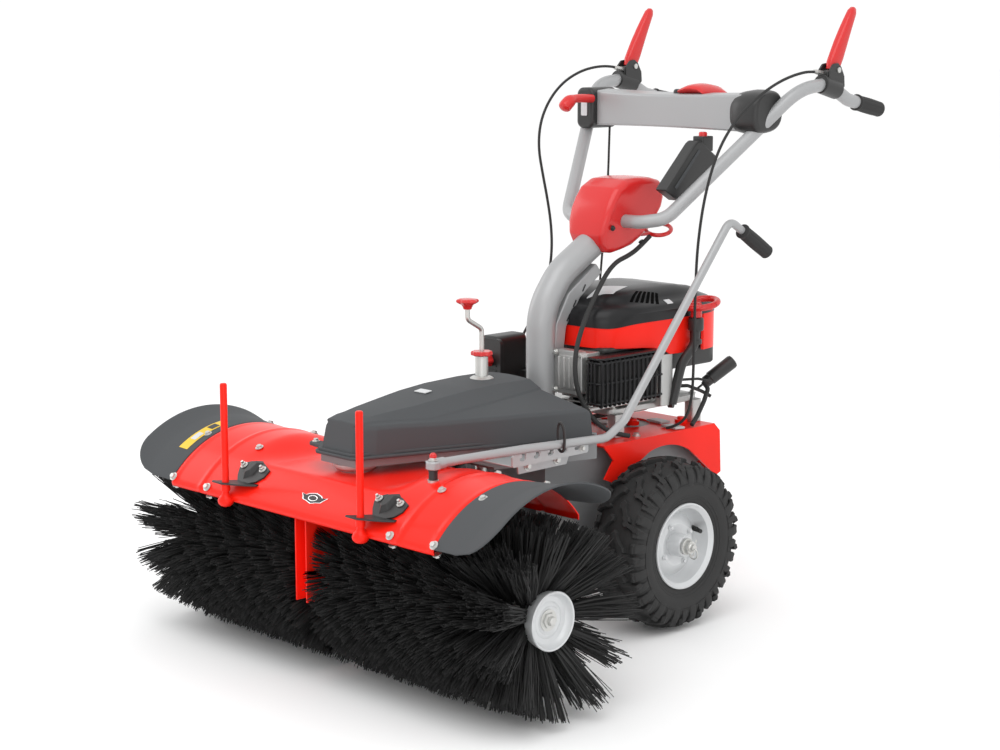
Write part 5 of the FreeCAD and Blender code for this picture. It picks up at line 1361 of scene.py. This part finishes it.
def draped(corners, lift, steps):
    """A thin patch that follows the top cover, from four corners given in plan."""
    verts, faces = [], []
    a, b, c, d = map(Vector, corners)
    for level in (lift, -2.0):
        for row in range(steps + 1):
            for column in range(steps + 1):
                left = a.lerp(b, row / steps)
                right = d.lerp(c, row / steps)
                x, y = left.lerp(right, column / steps)
                verts.append(at(x, y, dome_height(x, y) + level))
    count = (steps + 1) ** 2
    for level in (0, count):
        for face in skin(steps + 1, steps + 1, closed=False, cap=False):
            faces.append(tuple(level + index for index in face))
    rim = [row * (steps + 1) for row in range(steps + 1)]
    rim += [steps * (steps + 1) + column for column in range(1, steps + 1)]
    rim += [row * (steps + 1) + steps for row in range(steps - 1, -1, -1)]
    rim += range(steps - 1, 0, -1)
    for index, corner in enumerate(rim):
        after = rim[(index + 1) % len(rim)]
        faces.append((corner, after, after + count, corner + count))
    return verts, faces


def engine_shroud():
    """The red band, with its wavy top edge and a notch for the filler tube."""
    steps = 160
    start = math.pi / 4 * 0.36
    rings = []
    for inset in (0, 5):
        share = 1 - inset / ENGINE_HALF_WIDTH
        low_ring, high_ring = [], []
        for step in range(steps + 1):
            turn = start + 0.06 + (2 * math.pi - 0.23) * step / steps
            x, y = engine_point(turn, share)
            bottom, top = band_edges(y)
            low_ring.append((x, y, bottom))
            high_ring.append((x, y, top))
        rings += [high_ring, low_ring] if inset else [low_ring, high_ring]
    verts = [at(*point) for ring in rings for point in ring]
    count = steps + 1
    faces = []
    for row in range(4):
        after = (row + 1) % 4
        for index in range(steps):
            faces.append((row * count + index, row * count + index + 1,
                          after * count + index + 1, after * count + index))
    faces.append(tuple(row * count for row in range(4)))
    faces.append(tuple(row * count + steps for row in reversed(range(4))))
    show("engine_band", (verts, faces), RED, "root", 30, ["engine_shroud"], rounded=(1.2, 2))
    housing = slab(rounded_rect(-112, 116, 60, 316, 46, 8), (506, 566), "xy")
    ledge = slab(rounded_rect(-112, 114, -58, 66, 16, 4), (560, 573), "xy")
    show("recoil_housing", merge_parts([housing, ledge]), BLACK, "root", 30, rounded=(5, 3))


def muffler_guard():
    """The louvred black guard: bars on two faces, cross bars, a top plate and the muffler."""
    bars = []
    for index in range(14):
        y = -106 + 13.6 * index
        route = fillet([(140, y, 466), (150, y, 460), (151, y, 510), (150, y, 553), (138, y, 560)],
                       8, 4)
        bars.append(tube(route, 3.1, 8))
    for index in range(3):
        x = 136 - 9 * index
        bars.append(tube(fillet([(x, -104, 462), (x, -113, 470), (x, -113, 550), (x, -104, 558)],
                                7, 4), 2.6, 8))
    for z in (467, 509, 551):
        bars.append(tube(fillet([(116, -112, z), (148, -112, z), (150, 78, z)], 12, 5), 2.8, 10))
    show("guard_bars", merge_parts(bars), BLACK_SATIN, "root", 40, ["muffler_guard"])
    top = [(112, -112), (140, -114), (152, -102), (152, 72), (144, 79), (112, 79)]
    show("guard_top", slab(top, (557, 562), "xy"), BLACK_SATIN, "root", 30, rounded=(3, 3))
    muffler = slab(rounded_rect(-104, 72, 462, 556, 12), (112, 142), "yz")
    show("muffler_box", muffler, BLACK_METAL, "root", 30, rounded=(5, 3))


def engine_block():
    """The cast crankcase, the finned cylinder and its ribbed head, the post and the feet."""
    parts = [slab(rounded_rect(-118, 104, -28, 258, 24, 5), (427, 440), "xy"),
             slab(rounded_rect(-92, 92, 34, 226, 70, 8), (438, 566), "xy"),
             slab(rounded_rect(52, 108, -96, 90, 8), (446, 500), "xy"),
             slab(rounded_rect(110, 131, 100, 137, 5), (434, 545), "xy")]
    for step in range(11):
        z = 452 + 10.2 * step
        parts.append(slab(rounded_rect(30, 110, -102, 24, 6), (z, z + 3.6), "xy"))
    parts.append(slab(rounded_rect(46, 98, -96, 24, 5), (448, 566), "xy"))
    for x, y in ((-100, -8), (100, -8), (-100, 240), (100, 240)):
        parts.append(slab(rounded_rect(x - 13, x + 13, y - 15, y + 15, 5), (380, 430), "xy"))
    show("crankcase", merge_parts(parts), CAST, "root", 30, ["engine_block"], rounded=(1.5, 2))
    head = [slab(rounded_rect(26, 104, 480, 572, 14, 6), (-119, -98), "xz"),
            slab(rounded_rect(36, 94, 490, 562, 10, 6), (-121, -117), "xz")]
    for index in range(4):
        x = 43 + 14.5 * index
        head.append(slab(rounded_rect(x - 2.6, x + 2.6, 494, 558, 2.4), (-124, -118), "xz"))
    show("cylinder_head", merge_parts(head), CAST, "root", 30, rounded=(2, 3))
    bolts = [bolt_parts((x, -120, z), (0, -1, 0), 5, 4)
             for x, z in ((33, 565), (97, 565), (33, 487), (97, 487))]
    bolts += [bolt_parts((x, y, 440), (0, 0, 1), 5.5, 5)
              for x, y in ((-104, -16), (-104, 246), (92, 246), (96, -14))]
    show("engine_bolts", merge_parts(bolts), ZINC, "root", 30)
    mounts = [lathe("z", centre, [(380, 0), (380, 13), (384, 14), (388, 14), (389, 9), (394, 8),
                                  (395, 0)], 20) for centre in ((44, 44), (37, 116), (95, 207))]
    show("engine_mounts", merge_parts(mounts), RED, "root", 30)
    brackets = [slab([(x - 24, y - 12), (x + 20, y - 16), (x + 26, y + 8), (x - 16, y + 14)],
                     (381, 386), "xy") for x, y in ((-60, 88), (-10, 78), (58, 176), (122, 150))]
    show("mount_plates", merge_parts(brackets), LIGHT_GREY, "root", 30, rounded=(1, 2))


def oil_filler_tube():
    """The ribbed black filler tube with its collar, and the strap beside it."""
    route = fillet([(130, 135, 436), (138, 156, 522), (149, 184, 560), (149, 188, 612)],
                   [60, 40], 10)
    foot = [at(124, 132, 436), at(134, 136, 436)]
    parts = [tube(route, 10.5, 28), tube(foot, 9, 20),
             lathe("z", FILLER, [(590, 10), (590, 15), (593, 16.5), (612, 16.5), (617, 15),
                                     (618, 12), (600, 10)], 40),
             lathe("z", FILLER, [(560, 10), (562, 13), (570, 13), (572, 10)], 32)]
    show("filler_tube", merge_parts(parts), BLACK, "root", 35, ["oil_filler_tube"])
    strap = fillet([(150, 178, 387), (146, 200, 402), (138, 232, 430), (124, 262, 452),
                    (104, 270, 462)], 20, 5)
    show("throttle_strap", tube(strap, 5, 12), RUBBER, "root", 40)


def dipstick():
    """The red dipstick: a rod, a plug and a broad ring handle."""
    ring = []
    for step in range(49):
        turn = 2 * math.pi * step / 48
        ring.append(at(158 + 34 * math.cos(turn), 194 + 33 * math.sin(turn),
                       648 + 7 * math.sin(turn)))
    plug = [(584, 0), (584, 3), (618.6, 3), (618.6, 12), (632, 12), (636, 13), (646, 12),
            (650, 9), (650, 0)]
    web = slab(rounded_rect(124, 192, 184, 192, 3), (637, 646), "xy")
    parts = [tube(ring, 7, 20, False), lathe("z", FILLER, plug, 28), web]
    show("dipstick_ring", merge_parts(parts), RED_PLASTIC, "oil_dipstick", 60, ["dipstick"])


def recoil_handle():
    """The black starter grip with its collar and rope, and the bracket that it rests in."""
    start, end = Vector((83, 300, 455)), Vector((119, 355, 503))
    axis = (end - start).normalized()
    turn = axis.to_track_quat("Z", "Y")
    profile = [(-26, 0), (-26, 2.6), (0, 2.6), (0, 11), (3, 13), (14, 13), (16, 15), (74, 15.5),
               (79, 14), (81, 10), (81, 0)]
    verts, sides = [], 28
    for run, radius in profile:
        for angle in turns(sides):
            offset = turn @ Vector((radius * math.cos(angle), radius * math.sin(angle), run))
            verts.append(at(*(start + offset)))
    faces = skin(len(profile), sides, cap=False)
    show("recoil_grip", (verts, faces), BLACK, "recoil", 35, ["recoil_handle"])
    rods = [tube(fillet([(30, 200, 452), (70, 258, 452), (84, 288, 438), (104, 296, 428)], 14, 6),
                 4, 10),
            tube(fillet([(60, 190, 470), (96, 262, 470), (112, 290, 462)], 14, 6), 3, 10)]
    show("engine_rods", merge_parts(rods), BLACK_METAL, "root", 40)


def air_filter():
    """The black filter box with its ribbed lid, and the red knob."""
    show("filter_case", slab(rounded_rect(-186, -134, 454, 578, 12, 6), (-124, -36), "xz"), BLACK,
         "root", 30, ["air_filter_box"], rounded=(4, 3))
    lid = [slab(rounded_rect(-182, -120, 458, 574, 12, 6), (-130, -121), "xz")]
    for index in range(5):
        z = 474 + 10 * index
        lid.append(slab(rounded_rect(-172, -132, z, z + 4, 2), (-131.5, -129), "xz"))
    lid.append(slab(rounded_rect(-150, -112, -60, -10, 8), (468, 500), "xy"))
    show("filter_lid", merge_parts(lid), BLACK, "root", 30, rounded=(2, 2))
    rings = []
    for y, size, lobes in ((-131, 10, 0), (-134, 13, 0.8), (-151, 13, 0.8), (-154, 11, 0.4)):
        ring = []
        for turn in turns(48):
            radius = size + lobes * math.cos(6 * turn)
            ring.append((-150 + radius * math.cos(turn), y, 528 + radius * math.sin(turn)))
        rings.append(ring)
    show("filter_knob", loft(rings), RED_PLASTIC, "filter_knob", 40, ["air_filter_knob"])


def engine():
    """Every piece of the engine."""
    for draw in (engine_top_cover, engine_shroud, muffler_guard, engine_block, oil_filler_tube,
                 dipstick, recoil_handle, air_filter):
        draw()


# ---------------------------------------------------------------- build

make_camera()
make_light()
make_floor()
paint_nodes()
for draw in (cables, brush, wheels, brush_hood, front_rods, rod_brackets, hood_bolts, badge, neck,
             gear_post, brush_end_caps, belt_cover, steering_column, angle_lever, comb_plate,
             handlebar_tubes, joint_cover, release_ring, dash_panel, throttle_lever, gear_lever,
             starter_box, lever_brackets, height_crank, crank_tube, engine):
    draw()
for side, sign in (("left", 1), ("right", -1)):
    side_guard(side, sign)
    clutch_lever(side, sign)
guard_label()
